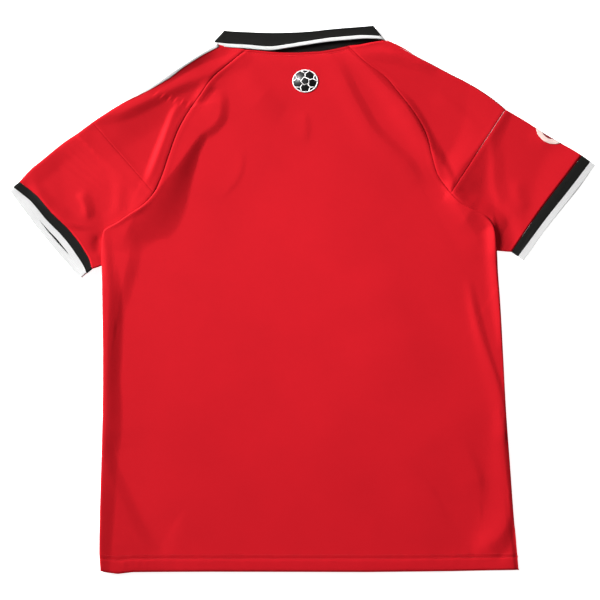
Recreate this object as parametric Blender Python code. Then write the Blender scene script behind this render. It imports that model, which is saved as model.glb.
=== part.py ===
"""Football jersey, laid flat and face down.

The front panel lies on the floor at z = 0 and the back panel lies on it. The shoulder panels and the sleeves
wrap over their top folds, from the back of the jersey to the front. +X is to the right and +Y to the collar,
as the jersey is seen from above. Sizes are in millimetres, and put_mesh scales them to metres.
"""
import math

import bmesh
import bpy

MM = 0.001

# Colours and roughness
RED = (0.73, 0.016, 0.026)
BLACK = (0.013, 0.012, 0.011)
WHITE = (0.86, 0.86, 0.85)
KNIT_ROUGH = 0.75
RIB_ROUGH = 0.85
PRINT_ROUGH = 0.6

# Cloth, in mm
CLOTH = 1.2            # wall of the body, the sleeves and the cuffs
RIB = 1.6              # wall of the collar
TRIM = 1.0             # wall of the tape, the badge and the patch
GAP = 0.3              # between neighbouring pieces
SEAM_ROOM = 0.6        # from the middle of a side seam to the outer side of each panel's edge
TOP = 5.8              # height of the back panel's outer side over the floor
TRIM_ROOM = 0.7        # between the cloth and the tape or the patch that wraps its fold
TRIM_LIFT = TRIM + TRIM_ROOM   # room below the folds for them
TRIM_LIFT_END = 72.0           # how far from a fold that room ends
TRIM_LIFT_SLOPE = 26.0         # the last part of that distance, over which the front comes down
LEAF_LIFT = RIB + GAP          # room below the front neckline for the collar's leaf
LEAF_LIFT_END = 100.0          # the same distances from the neckline
LEAF_LIFT_SLOPE = 36.0
TUCK_BACK = TOP - CLOTH - GAP - 0.1    # outer side of the sleeve where it goes under the back panel
TUCK_FRONT = CLOTH + GAP + 0.2         # outer side of the sleeve where it goes over the front panel
TUCK_FLAT = 12.0       # how far from its seam the tucked sleeve stays at that height
TUCK_RISE = 36.0       # how far it takes to come back to the height of the rest

# Columns of points across the panels
BACK_COLUMNS = 18
FRONT_COLUMNS = 10
SHOULDER_COLUMNS = (7, 3)      # on the back and on the front
SLEEVE_COLUMNS = (8, 4)
TAPE_COLUMNS = 5
EDGE_STEP = 0.1                # width of the tape's first column where it doesn't show on the back
ROLL_STEPS = (0.0, 30.0, 60.0)                 # of a rolled side edge, from the seam up, in degrees
FOLD_STEPS = (60.0, 30.0, 0.0, -30.0, -60.0)   # of a top fold, from the back over to the front

SIDE_NAMES = ("left", "right")
CENTRE = (0.0, 60.0)           # middle of the body

# Outline of the body, a row for each height: (name, y, left x, right x)
SIDES = [
    ("hem", -368, -271.5, 293.5),
    ("hem stitch", -343, -273.5, 291.5),
    ("low hip", -300, -273, 287.5),
    ("hip", -225, -271, 282),
    ("low waist", -150, -269, 276.5),
    ("waist", -75, -268, 272.5),
    ("ribs", -5, -269, 268),
    ("low chest", 30, -269, 266),
    ("below the tuck", 41, -269, 264.5),
    ("tuck's end", 47, -268.5, 264),
    ("in the tuck", 68, -268, 262.5),
    ("underarm", 91, -268, 261),
]
SEWN_SIDES = {row[0] for row in SIDES[:9]}     # where the back is sewn to the front, below the tucked sleeve
# Back raglan seams, from the underarm up to the neckline: (name, left x, left y, right x, right y)
RAGLAN_LOW = [
    ("underarm", -268, 91, 261, 91),
    ("under the sleeve", -248, 103.5, 254, 108),
    ("armhole", -230, 115.5, 235, 119),
    ("low bend", -212, 127.5, 216, 129),
    ("cross seam", -198.5, 142.5, 201.5, 142.5),
]
RAGLAN_HIGH = [
    ("cross seam", -198.5, 142.5, 201.5, 142.5),
    ("high bend", -187, 167, 184.5, 167),
    ("blade", -178, 193, 176, 194),
    ("shoulder", -166, 227.5, 168, 224),
    ("high shoulder", -153.5, 250.5, 152, 252),
    ("collar bone", -138.5, 272, 134, 275),
    ("neck slope", -120, 298, 113, 300),
    ("neck", -98, 317, 85, 321),
    ("neckline", -75, 336.5, 63.5, 342.5),
]
# Outer folds of the shoulder panels, paired with RAGLAN_HIGH: (name, left x, left y, right x, right y)
SHOULDER_FOLD = [
    ("cross seam", -281.5, 238, 275.5, 255.5),
    ("high bend", -262, 251, 260, 268.5),
    ("blade", -242, 263.5, 241, 281),
    ("shoulder", -220, 277, 222, 292.5),
    ("high shoulder", -198, 291, 201, 303.5),
    ("collar bone", -177, 305, 180, 315),
    ("neck slope", -156, 319, 158, 326),
    ("neck", -134, 332, 137, 337),
    ("neckline", -113.5, 344, 115.5, 345.5),
]
# Ends of the neckline on the back and on the front panel: (left x, y, right x, y), and its dip between them
NECK_BACK = (-75, 336.5, 63.5, 342.5)
NECK_FRONT = (-84, 322, 81, 327)
NECK_DIP_BACK = 5.5
NECK_DIP_FRONT = 82.0
NECK_ROUND_BACK = 0.8          # power of the back's curve: the lower, the squarer
NECK_LEAN_BACK = 0.25          # how much shallower the back's curve is at its right end
NECK_ROUND_FRONT = 1.35        # power of the front's curve: 1 is a straight V
NECK_STEPS = (-112, -98, -84, -72, -58, -40, -20, 0, 18, 38, 56, 70, 81, 98, 115)      # x of its own points
NECK_ROOM = (1.8, 0.9)         # between the neckline and the collar's stand, on the front and on the back
NECK_INWARD = 0.97             # share of the neckline's width that the front of the stand has
# Sleeves, from the cross seam to the cuff:
# (name, left seam x, y, left fold x, y, right seam x, y, right fold x, y)
SLEEVE = [
    ("cross seam", -198.5, 142.5, -281.5, 238, 201.5, 142.5, 275.5, 255.5),
    ("low bend", -212, 127.5, -291, 231, 216, 129, 286, 249.5),
    ("armhole", -230, 115.5, -301, 223.5, 235, 119, 297, 243),
    ("under the body", -249, 101, -311.5, 217, 251, 105, 308, 236),
    ("tuck", -260, 88, -322, 209, 253, 93, 319, 229),
    ("deep tuck", -262.5, 68, -336, 198.5, 257, 72, 333, 220),
    ("seam", -264, 49, -350, 187, 258, 66, 348, 211.5),
    ("mid seam", -272.5, 44, -365, 174, 271, 64.5, 364, 203.5),
    ("cuff", -282.5, 40.5, -380.5, 158.5, 284, 63.5, 378.5, 194),
]
# How far each sleeve row's seam is tucked between the back and the front panel: 0 is not, 1 is wholly
TUCKED = {
    "low bend": 0.35,
    "armhole": 1.0,
    "under the body": 1.0,
    "tuck": 1.0,
    "deep tuck": 1.0,
    "seam": 1.0,
    "mid seam": 0.4,
}
SEWN_BELOW = {"mid seam", "cuff"}      # rows where the sleeve's two sides meet at the underarm seam
CUFF_BAND = 12.5       # width of the black rib
CUFF_EDGE = 9.0        # width of the white edge
CUFF_BOW = (5.0, 1.5)  # how far the left and the right cuff curve in
BOW_WAY = (-0.77, 0.64)        # the way they curve, up the right sleeve; the left one mirrors x
# Collar, from the back centre to the front: (name, neck x, roll x, roll y, edge x, edge y)
COLLAR_LEFT = [
    ("back centre", -8, -8, 360, -8, 338),
    ("back", -40, -40, 359.5, -40, 334),
    ("nape", -75, -72, 360.5, -76, 337),
    ("side", -109, -98, 359.3, -112.5, 345.5),
]
COLLAR_RIGHT = [
    ("back", 24, 24, 362, 24, 343),
    ("nape", 58, 57, 365.5, 58, 348),
    ("side", 103, 92.5, 364, 107, 347.5),
]
# Front of the collar, from the side's fold to the middle
COLLAR_FRONT_LEFT = [
    ("front side", -98, -85, 348, -101, 337),
    ("front seam", -84, -66, 332, -97, 312),
    ("front bend", -65, -46, 306, -92, 272),
    ("low", -36, -22, 283, -72, 228),
    ("front middle", -3, -3, 260, -34, 196),
]
COLLAR_FRONT_RIGHT = [
    ("front side", 96, 82, 352, 99, 340),
    ("front seam", 81, 64, 336, 95, 316),
    ("front bend", 63, 44, 309, 91, 275),
    ("low", 34, 21, 285, 70, 230),
    ("front middle", 2, 2, 260, 33, 197),
]
SIDE_TURNS = (0.0, 45.0, 90.0, 135.0, 180.0)   # turns of the wall at each side, from the back to the front
STAND_SHARES = (0.0, 0.35, 0.7, 1.0)           # rows of points up the stand
ROLL_TURNS = (45.0, 90.0, 135.0)               # rows of points over the roll, in degrees
TIP = 7.0              # width of the collar's white edge
BADGE = (5, 293.5, 17.5, 15.5)         # centre x and y, half width and half height
BADGE_ROOM = 0.45              # between the badge and the back panel
BADGE_SIDES = 24
PATCH = (0.47, 15.5, 24.5)     # place along the right sleeve's fold, centre below the fold, radius
PATCH_SIDES = 28
PATCH_CUTS = (0.37, 0.46, 0.55, 0.63, 0.7, 0.76, 0.82, 0.87)   # rows of points over its fold, in radii
STRIPE_TOP = (7.5, 1.6)        # how far each shoulder tape shows on the back, at the neck
STRIPE_FRONT = 13.0            # how far it reaches on the front
STRIPE_AT_NECK = 3.0           # the same, where the collar's leaf is below it
STRIPE_START = 3.0             # from the neckline to its end
STRIPE_SHOWS = (0.45, 0.95)    # shares of the way up to the neck between which it comes to show on the back
STRIPE_NARROWS = (0.7, 1.0)    # the same, for where it narrows on the front
STRIPE_TURN = (20.0, 90.0)     # how far it turns up the fold, in degrees, where hidden and where it shows

FOLD_END = 0.3         # share of a fold's length over which it fades at each end
# Largest folds of the back: (name, start x, y, middle x, y, end x, y, half width, height)
FOLDS = [
    ("left pull", -137, 225, -158, 167, -180, 96, 17, -2.6),
    ("left seam ridge", -150, 240, -176, 170, -215, 112, 13, 2.0),
    ("left shoulder dip", -140, 306, -191, 268, -245, 232, 14, -2.2),
    ("left shoulder ridge", -175, 279, -191, 221, -205, 161, 13, 2.4),
    ("left side dip", -248, 20, -252, -69, -256, -185, 15, -1.8),
    ("left hip sweep", -254, -195, -232, -261, -190, -338, 20, -2.2),
    ("right shoulder dip", 92, 318, 130, 275, 175, 215, 15, -1.4),
    ("right blade ridge", 82, 289, 133, 235, 180, 160, 18, 2.4),
    ("right armhole dip", 212, 166, 226, 148, 243, 124, 12, -2.0),
    ("right hem ridge", 262, -215, 262, -275, 238, -332, 15, 2.0),
    ("left sleeve ridge", -333, 130, -318, 118, -300, 100, 14, 2.2),
    ("right sleeve ridge", 249, 201, 256, 154, 271, 113, 13, 1.8),
]


def mix(a, b, t):
    return a + (b - a) * t


def smooth(t):
    t = min(max(t, 0.0), 1.0)
    return t * t * (3.0 - 2.0 * t)


def sign_of(x):
    return 1.0 if x > 0 else -1.0


def unit(x, y):
    length = math.hypot(x, y)
    return x / length, y / length


def towards(point, way, distance):
    """The plan point at that distance from point, along the unit vector way."""
    return point[0] + way[0] * distance, point[1] + way[1] * distance


def distance_to_line(x, y, points):
    """Distance from (x, y) to an open run of points, and the share of the run at the nearest place."""
    best, share, last = math.inf, 0.0, len(points) - 1
    for i in range(last):
        (ax, ay), (bx, by) = points[i], points[i + 1]
        along = ((x - ax) * (bx - ax) + (y - ay) * (by - ay)) / ((bx - ax) ** 2 + (by - ay) ** 2)
        along = min(max(along, 0.0), 1.0)
        distance = math.hypot(x - mix(ax, bx, along), y - mix(ay, by, along))
        if distance < best:
            best, share = distance, (i + along) / last
    return best, share


def fold_height(x, y):
    """Height that the folds add to the back at (x, y)."""
    height = 0.0
    for _, ax, ay, mx, my, bx, by, half_width, rise in FOLDS:
        distance, share = distance_to_line(x, y, [(ax, ay), (mx, my), (bx, by)])
        ends = smooth(share / FOLD_END) * smooth((1.0 - share) / FOLD_END)
        height += rise * ends * math.exp(-((distance / half_width) ** 2))
    return height


def top_level(x, y):
    """Height of the back's outer side at (x, y)."""
    return TOP + fold_height(x, y)


def fold_line(side):
    """The top fold of one side, from the neckline down to the cuff."""
    shoulder_points = [(row[1 + 2 * side], row[2 + 2 * side]) for row in reversed(SHOULDER_FOLD)]
    return shoulder_points + [(row[3 + 4 * side], row[4 + 4 * side]) for row in SLEEVE[1:]]


def neck_curve(t, is_back):
    """How far the neckline dips below a straight line between its ends, at the share t of its width."""
    if is_back:
        return -NECK_DIP_BACK * math.sin(math.pi * t) ** NECK_ROUND_BACK * (1.0 - NECK_LEAN_BACK * t)
    return -NECK_DIP_FRONT * (1.0 - abs(2.0 * t - 1.0) ** NECK_ROUND_FRONT)


def neckline(x, is_back):
    """Height y of the neckline at x, along the shoulder panels and the body panel."""
    lx, ly, rx, ry = NECK_BACK if is_back else NECK_FRONT
    _, fold_lx, fold_ly, fold_rx, fold_ry = SHOULDER_FOLD[-1]
    if x < lx:
        return mix(fold_ly, ly, (x - fold_lx) / (lx - fold_lx))
    if x > rx:
        return mix(ry, fold_ry, (x - rx) / (fold_rx - rx))
    share = (x - lx) / (rx - lx)
    return mix(ly, ry, share) + neck_curve(share, is_back)


FOLD_LINES = (fold_line(0), fold_line(1))
NECK_LINE = [(x, neckline(x, False)) for x in NECK_STEPS]


def front_level(x, y):
    """Height of the front's outer side: on the floor, except over the tape, the patch and the collar."""
    beside = min(distance_to_line(x, y, line)[0] for line in FOLD_LINES)
    near_neck = distance_to_line(x, y, NECK_LINE)[0]
    over_trim = TRIM_LIFT * smooth((TRIM_LIFT_END - beside) / TRIM_LIFT_SLOPE)
    over_leaf = LEAF_LIFT * smooth((LEAF_LIFT_END - near_neck) / LEAF_LIFT_SLOPE)
    return max(over_trim, over_leaf)


def fold_way(x, y):
    """Unit vector in plan, out from the jersey and square to the top fold at its point nearest to (x, y)."""
    line = FOLD_LINES[0] if x < 0 else FOLD_LINES[1]
    nearest = min(range(len(line)), key=lambda i: math.hypot(line[i][0] - x, line[i][1] - y))
    (ax, ay), (bx, by) = line[max(nearest - 1, 0)], line[min(nearest + 1, len(line) - 1)]
    wx, wy = unit(-(by - ay), bx - ax)
    return (wx, wy) if wy > 0 else (-wx, -wy)


def put_mesh(name, bm, colour, roughness, thickness, offset=-1.0):
    """Make an object from bm, scaled to metres, with a wall of the given thickness."""
    bmesh.ops.scale(bm, verts=bm.verts, vec=(MM, MM, MM))
    mesh = bpy.data.meshes.new(name)
    bm.to_mesh(mesh)
    bm.free()
    mesh.shade_smooth()
    obj = bpy.data.objects.new(name, mesh)
    bpy.context.scene.collection.objects.link(obj)
    wall = obj.modifiers.new("wall", "SOLIDIFY")
    wall.thickness = thickness * MM
    wall.offset = offset
    wall.use_even_offset = True
    material = bpy.data.materials.new(name)
    material.use_nodes = True
    shader = material.node_tree.nodes["Principled BSDF"]
    shader.inputs["Base Color"].default_value = (*colour, 1.0)
    shader.inputs["Roughness"].default_value = roughness
    mesh.materials.append(material)


def sheet(name, rows, colour, roughness, thickness, outward, offset=-1.0):
    """A panel through rows of (x, y, z) points. outward is the way that its first face looks."""
    across, along = len(rows[0]), len(rows)
    bm = bmesh.new()
    bmesh.ops.create_grid(bm, x_segments=across - 1, y_segments=along - 1, size=0.5)
    for index, vert in enumerate(bm.verts):
        vert.co = rows[index // across][index % across]
    bm.normal_update()
    bm.faces.ensure_lookup_table()
    if bm.faces[0].normal.dot(outward) < 0:
        bmesh.ops.reverse_faces(bm, faces=bm.faces)
    put_mesh(name, bm, colour, roughness, thickness, offset)


def shift_in(points, closed_to):
    """Move a run of plan points sideways by half a seam gap, towards the point closed_to."""
    moved = []
    for i, (x, y) in enumerate(points):
        last_x, last_y = points[max(i - 1, 0)]
        next_x, next_y = points[min(i + 1, len(points) - 1)]
        nx, ny = unit(-(next_y - last_y), next_x - last_x)
        if nx * (closed_to[0] - x) + ny * (closed_to[1] - y) < 0:
            nx, ny = -nx, -ny
        moved.append((x + nx * GAP / 2, y + ny * GAP / 2))
    return moved


def body_panel(name, is_back):
    """Back or front panel: rows from the hem up to the neckline, columns from the left side to the right."""
    seams = RAGLAN_LOW[1:] + RAGLAN_HIGH[1:]
    names = [row[0] for row in SIDES + seams]
    left = [(row[2], row[1]) for row in SIDES] + [(row[1], row[2]) for row in seams]
    right = [(row[3], row[1]) for row in SIDES] + [(row[3], row[4]) for row in seams]
    if not is_back:
        left[-1], right[-1] = NECK_FRONT[:2], NECK_FRONT[2:]
    underarm = len(SIDES) - 1
    left = left[:underarm] + shift_in(left[underarm:], CENTRE)
    right = right[:underarm] + shift_in(right[underarm:], CENTRE)
    level = top_level if is_back else front_level
    columns = BACK_COLUMNS if is_back else FRONT_COLUMNS
    radius = TOP / 2
    seam = radius + (SEAM_ROOM if is_back else -SEAM_ROOM)
    rows = []
    for row_name, (lx, ly), (rx, ry) in zip(names, left, right):
        share_up = max(0.0, (ly - left[underarm][1]) / (left[-1][1] - left[underarm][1]))
        rolled = 1.0 if row_name in SEWN_SIDES else 0.0

        def edge(edge_x, edge_y, side):
            """Points of the rolled edge of this row, from the seam inwards."""
            points = []
            for step in ROLL_STEPS:
                angle = math.radians(step)
                x = edge_x + side * radius * (1.0 - math.cos(angle))
                points.append((x, edge_y, mix(level(x, edge_y), seam, rolled * (1.0 - math.sin(angle)))))
            return points

        middle = []
        for k in range(columns + 1):
            t = k / columns
            x = mix(lx + radius, rx - radius, t)
            y = mix(ly, ry, t) + neck_curve(t, is_back) * share_up
            middle.append((x, y, level(x, y)))
        rows.append(edge(lx, ly, 1) + middle + edge(rx, ry, -1)[::-1])
    sheet(name, rows, RED, KNIT_ROUGH, CLOTH, (0, 0, 1 if is_back else -1))


def flat_part(seam, centre, level, is_back, columns, sewn, tucked, bow):
    """Points of one side of a wrapped panel's row, from its seam to where its top fold begins."""
    sx, sy = seam
    way = unit(centre[0] - sx, centre[1] - sy)
    run = math.hypot(centre[0] - sx, centre[1] - sy)
    seam_level = mix(level(sx, sy), TUCK_BACK if is_back else TUCK_FRONT, tucked)
    half = mix(TOP, TUCK_BACK - TUCK_FRONT, tucked) / 2
    if sewn:
        places = [((1.0 - math.cos(math.radians(step))) * half, step) for step in ROLL_STEPS]
        places += [(mix(half, run, k / columns), None) for k in range(columns + 1)]
    else:
        places = [(mix(0.0, run, k / columns), None) for k in range(columns + 1)]
    part = []
    for place, step in places:
        x, y = towards(seam, way, place)
        arch = 4.0 * bow * (place / run) * (1.0 - place / run)
        x, y = x + arch * BOW_WAY[0] * sign_of(centre[0]), y + arch * BOW_WAY[1]
        z = level(x, y)
        if tucked:
            z = mix(seam_level, z, smooth((place - TUCK_FLAT) / TUCK_RISE))
        if step is not None:
            z = mix(z, TOP / 2 + (SEAM_ROOM if is_back else -SEAM_ROOM), 1.0 - math.sin(math.radians(step)))
        part.append((x, y, z))
    return part


def wrap_rows(rows, columns, back_z, front_z):
    """Rows of points for a panel from its seam on the back, over its top fold, to its seam on the front.

    Each row is (seam point, fold point, front seam point, sewn, tucked, bow). columns are those of each side.
    """
    out = []
    for back_seam, fold, front_seam, sewn, tucked, bow in rows:
        way = fold_way(*fold)
        low = front_z(*fold)
        radius, middle = (TOP - low) / 2, (TOP + low) / 2
        centre = towards(fold, way, -radius)
        back = flat_part(back_seam, centre, back_z, True, columns[0], sewn, tucked, bow)
        front = flat_part(front_seam, centre, front_z, False, columns[1], sewn, tucked, bow)
        crown = back_z(*fold) - TOP
        arc = []
        for step in FOLD_STEPS:
            angle = math.radians(step)
            rise = radius * math.sin(angle) + max(0.0, math.sin(angle)) * crown
            arc.append((*towards(centre, way, radius * math.cos(angle)), middle + rise))
        out.append(back + arc + front[::-1])
    return out


def same_columns(rows):
    """Give the rows with an open seam the sewn ones' extra columns, by splitting their first stretches."""
    most = max(len(row) for row in rows)
    out = []
    for row in rows:
        for _ in range((most - len(row)) // 2):
            first = tuple(mix(a, b, 0.5) for a, b in zip(row[0], row[1]))
            last = tuple(mix(a, b, 0.5) for a, b in zip(row[-1], row[-2]))
            row = [row[0], first] + row[1:-1] + [last, row[-1]]
        out.append(row)
    return out


def panel_row(seam, fold, front_seam, down, first, shape):
    """One row for wrap_rows, ending in shape. The first row, at the cross seam, moves by half a gap."""
    points = (seam, fold, front_seam)
    if first:
        points = tuple(towards(point, down, GAP / 2) for point in points)
    return (*points, *shape)


def shoulder(side):
    """Panel from the neckline to the cross seam, over one shoulder. Returns its fold points."""
    raglan = [(row[1 + 2 * side], row[2 + 2 * side]) for row in RAGLAN_HIGH]
    fold = [(row[1 + 2 * side], row[2 + 2 * side]) for row in SHOULDER_FOLD]
    front = raglan[:-1] + [NECK_FRONT[2 * side:2 * side + 2]]
    raglan, front = shift_in(raglan, fold[4]), shift_in(front, fold[4])
    down = unit(fold[1][0] - fold[0][0], fold[1][1] - fold[0][1])
    rows = []
    for i, points in enumerate(zip(raglan, fold, front)):
        rows.append(panel_row(*points, down, i == 0, (False, 0.0, 0.0)))
    points = wrap_rows(rows, SHOULDER_COLUMNS, top_level, front_level)
    sheet(f"shoulder_{SIDE_NAMES[side]}", points, RED, KNIT_ROUGH, CLOTH, (0, 0, 1))
    return [row[1] for row in rows]


def sleeve_points(side):
    """Seam and fold points of a sleeve, from the cross seam to the cuff."""
    seam = [(row[1 + 4 * side], row[2 + 4 * side]) for row in SLEEVE]
    fold = [(row[3 + 4 * side], row[4 + 4 * side]) for row in SLEEVE]
    return seam, fold


def sleeve(side):
    """Sleeve from the cross seam to the cuff. Returns its fold points."""
    seam, fold = sleeve_points(side)
    seam = shift_in(seam[:3], fold[4]) + seam[3:]
    down = unit(fold[1][0] - fold[0][0], fold[1][1] - fold[0][1])
    rows = []
    for i, (name, *_) in enumerate(SLEEVE):
        bow = CUFF_BOW[side] * smooth(i / (len(SLEEVE) - 1)) ** 2
        shape = (name in SEWN_BELOW, TUCKED.get(name, 0.0), bow)
        rows.append(panel_row(seam[i], fold[i], seam[i], down, i == 0, shape))
    points = same_columns(wrap_rows(rows, SLEEVE_COLUMNS, top_level, front_level))
    sheet(f"sleeve_{SIDE_NAMES[side]}", points, RED, KNIT_ROUGH, CLOTH, (0, 0, 1))
    return [row[1] for row in rows]


def cuff(side):
    """Black band and white edge of a cuff, on from the sleeve's last row."""
    seam, fold = sleeve_points(side)
    along = unit(fold[-1][0] - seam[-1][0], fold[-1][1] - seam[-1][1])
    out = (-along[1], along[0]) if -along[1] * sign_of(fold[-1][0]) > 0 else (along[1], -along[0])
    for name, near, far, colour in (
        ("cuff_band", GAP, CUFF_BAND, BLACK),
        ("cuff_edge", CUFF_BAND + GAP, CUFF_BAND + CUFF_EDGE, WHITE),
    ):
        rows = []
        for reach in (near, far):
            points = [towards(point, out, reach) for point in (seam[-1], fold[-1], seam[-1])]
            rows.append((*points, True, 0.0, CUFF_BOW[side]))
        points = wrap_rows(rows, SLEEVE_COLUMNS, lambda x, y: TOP, front_level)
        sheet(f"{name}_{SIDE_NAMES[side]}", points, colour, RIB_ROUGH, CLOTH, (0, 0, 1))


def stripe(side, fold):
    """Tape over the shoulder's fold, moved out from the shoulder panel's own points."""
    down = unit(fold[0][0] - fold[-1][0], fold[0][1] - fold[-1][1])
    last = len(fold) - 1
    out = []
    for i, point in enumerate(fold):
        way = fold_way(*point)
        low = front_level(*point)
        radius, middle = (TOP - low) / 2, (TOP + low) / 2
        outer = radius + TRIM_ROOM + TRIM
        crown = top_level(*point) - TOP
        shown = STRIPE_TOP[side] * smooth((i / last - STRIPE_SHOWS[0]) / (STRIPE_SHOWS[1] - STRIPE_SHOWS[0]))
        narrow = smooth((i / last - STRIPE_NARROWS[0]) / (STRIPE_NARROWS[1] - STRIPE_NARROWS[0]))
        if i == last:
            point = towards(point, down, STRIPE_START)
        centre = towards(point, way, -radius)
        start = mix(*STRIPE_TURN, smooth(shown / radius))
        arc = []
        for k in range(TAPE_COLUMNS + 1):
            angle = math.radians(mix(start, -90.0, k / TAPE_COLUMNS))
            rise = outer * math.sin(angle) + crown * max(0.0, math.sin(angle))
            arc.append((*towards(centre, way, outer * math.cos(angle)), middle + rise))
        x, y, z = arc[0]
        x, y = towards((x, y), way, -max(shown - radius, EDGE_STEP))
        on_back = (x, y, z if shown > radius else z + EDGE_STEP)
        reach = mix(STRIPE_FRONT, STRIPE_AT_NECK, narrow)
        on_front = (*towards(centre, way, -reach), middle - outer)
        out.append([on_back] + arc + [on_front])
    sheet(f"shoulder_stripe_{SIDE_NAMES[side]}", out, WHITE, PRINT_ROUGH, TRIM, (0, 0, 1))


def collar_stations():
    """Stations of the collar from the front middle on the left, round the back, to the front middle again.

    Each is (neck, roll, edge, turn): plan points, and the wall's turn from the back (0) to the front (180).
    """
    def points(row, is_back):
        inward = 1.0 if is_back else NECK_INWARD
        return [(row[1] * inward, neckline(row[1], is_back) + NECK_ROOM[is_back]), row[2:4], row[4:6]]

    left_side, right_side = points(COLLAR_LEFT[-1], True), points(COLLAR_RIGHT[-1], True)
    stations = [(*points(row, False), 180.0) for row in reversed(COLLAR_FRONT_LEFT)]
    stations += [(*left_side, turn) for turn in reversed(SIDE_TURNS)]
    stations += [(*points(row, True), 0.0) for row in reversed(COLLAR_LEFT[:-1])]
    stations += [(*points(row, True), 0.0) for row in COLLAR_RIGHT[:-1]]
    stations += [(*right_side, turn) for turn in SIDE_TURNS]
    stations += [(*points(row, False), 180.0) for row in COLLAR_FRONT_RIGHT]
    return stations


def collar_section(station, side):
    """Points of one section, through the middle of the wall: (black part, white part)."""
    (nx, ny), (rx, ry), (ex, ey), turn = station
    dx, dy = unit(rx - nx, ry - ny)
    height = math.hypot(rx - nx, ry - ny)
    fall = (rx - ex) * dx + (ry - ey) * dy
    skew = ((ex - rx) + dx * fall, (ey - ry) + dy * fall)
    out_x, out_y = (-dy, dx) if (-dy) * side > 0 else (dy, -dx)
    angle = math.radians(turn)
    stand_radius = (TOP - LEAF_LIFT) / 2 - RIB / 2
    middle = (TOP + LEAF_LIFT) / 2
    step = RIB + GAP
    turn_radius = step / 2

    def place(along, outward, slip):
        """A point at the height along the stand, outward from it, slipped sideways by a share of the skew."""
        reach = (stand_radius + outward) * math.sin(angle)
        level = middle + (stand_radius + outward) * math.cos(angle)
        x = nx + dx * along + out_x * reach + skew[0] * slip
        y = ny + dy * along + out_y * reach + skew[1] * slip
        return x, y, level

    top = height - turn_radius - RIB / 2
    black = [place(top * t, 0.0, 0.0) for t in STAND_SHARES]
    for degrees in ROLL_TURNS:
        bend = math.radians(degrees)
        black.append(place(top + turn_radius * math.sin(bend), turn_radius * (1 - math.cos(bend)), 0.0))
    reach = fall - turn_radius - RIB / 2
    share = (reach - TIP - GAP) / reach
    black += [place(top - reach * t, step, t) for t in (0.0, share / 2, share)]
    white = [place(top - reach * t, step, t) for t in (share + GAP / reach, 1.0)]
    return black, white


def collar():
    """Black collar, its stand and its fall in one wall, and the white edge along it."""
    stations = collar_stations()
    middle = len(stations) // 2
    sections = [collar_section(station, -1 if i < middle else 1) for i, station in enumerate(stations)]
    sheet("collar", [black for black, _ in sections], BLACK, RIB_ROUGH, RIB, (0, 0, 1), 0.0)
    sheet("collar_tip", [white for _, white in sections], WHITE, RIB_ROUGH, RIB, (0, 0, 1), 0.0)


def badge():
    """Disc on the back panel, made from the panel's points moved out."""
    x0, y0, half_width, half_height = BADGE
    bm = bmesh.new()
    bmesh.ops.create_circle(bm, cap_ends=True, cap_tris=True, segments=BADGE_SIDES, radius=1.0)
    for vert in bm.verts:
        x, y = x0 + vert.co.x * half_width, y0 + vert.co.y * half_height
        vert.co = (x, y, top_level(x, y) + BADGE_ROOM + TRIM)
    put_mesh("neck_badge", bm, BLACK, PRINT_ROUGH, TRIM)


def place_on_fold(fold, start, along, s):
    """Point of the fold line at the distance s from start along the sleeve, and the way out from it."""
    x, y = towards(start, along, s)
    out_x, out_y = (-along[1], along[0]) if along[0] > 0 else (along[1], -along[0])
    for (ax, ay), (bx, by) in zip(fold, fold[1:]):
        across = (bx - ax) * out_y - (by - ay) * out_x
        share = ((x - ax) * out_y - (y - ay) * out_x) / across
        if 0.0 <= share <= 1.0:
            return (mix(ax, bx, share), mix(ay, by, share)), (out_x, out_y)
    raise ValueError(f"the fold line doesn't pass {x:.1f}, {y:.1f}")


def patch(fold):
    """Round patch over the right sleeve's fold, mostly on the front, moved out from the sleeve's points."""
    at, below, size = PATCH
    start, end = fold[0], fold[-1]
    along = unit(end[0] - start[0], end[1] - start[1])
    run = math.hypot(end[0] - start[0], end[1] - start[1])
    radius, middle = (TOP - TRIM_LIFT) / 2, (TOP + TRIM_LIFT) / 2
    outer = radius + TRIM_ROOM + TRIM
    bm = bmesh.new()
    bmesh.ops.create_circle(bm, cap_ends=False, segments=PATCH_SIDES, radius=1.0)
    bmesh.ops.contextual_create(bm, geom=bm.edges[:])
    cuts = [((0, 0, 0), (1, 0, 0))] + [((0, cut, 0), (0, 1, 0)) for cut in PATCH_CUTS]
    for place, way in cuts:
        whole = bm.verts[:] + bm.edges[:] + bm.faces[:]
        bmesh.ops.bisect_plane(bm, geom=whole, plane_co=place, plane_no=way)
    bmesh.ops.remove_doubles(bm, verts=bm.verts, dist=0.03)
    bmesh.ops.triangulate(bm, faces=bm.faces[:])
    for vert in bm.verts:
        point, way = place_on_fold(FOLD_LINES[1], start, along, at * run + vert.co.x * size)
        centre = towards(point, way, -radius)
        turn = vert.co.y * size - below + outer * math.pi / 2      # run over the fold, from its lowest line
        if turn < 0:
            vert.co = (*towards(centre, way, turn), middle - outer)
        elif turn > outer * math.pi:
            vert.co = (*towards(centre, way, outer * math.pi - turn), middle + outer)
        else:
            angle = turn / outer - math.pi / 2
            vert.co = (*towards(centre, way, outer * math.cos(angle)), middle + outer * math.sin(angle))
    bm.normal_update()
    facing = sum(face.normal.z * face.calc_area() for face in bm.faces if face.calc_center_median().z < TRIM)
    if facing > 0:
        bmesh.ops.reverse_faces(bm, faces=bm.faces)
    put_mesh("sleeve_patch", bm, WHITE, PRINT_ROUGH, TRIM)


def clear_scene():
    for obj in list(bpy.data.objects):
        bpy.data.objects.remove(obj, do_unlink=True)


def main():
    clear_scene()
    body_panel("back_body", True)
    body_panel("front_body", False)
    for side in (0, 1):
        stripe(side, shoulder(side))
        sleeve_fold = sleeve(side)
        cuff(side)
    patch(sleeve_fold)
    collar()
    badge()


main()
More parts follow.
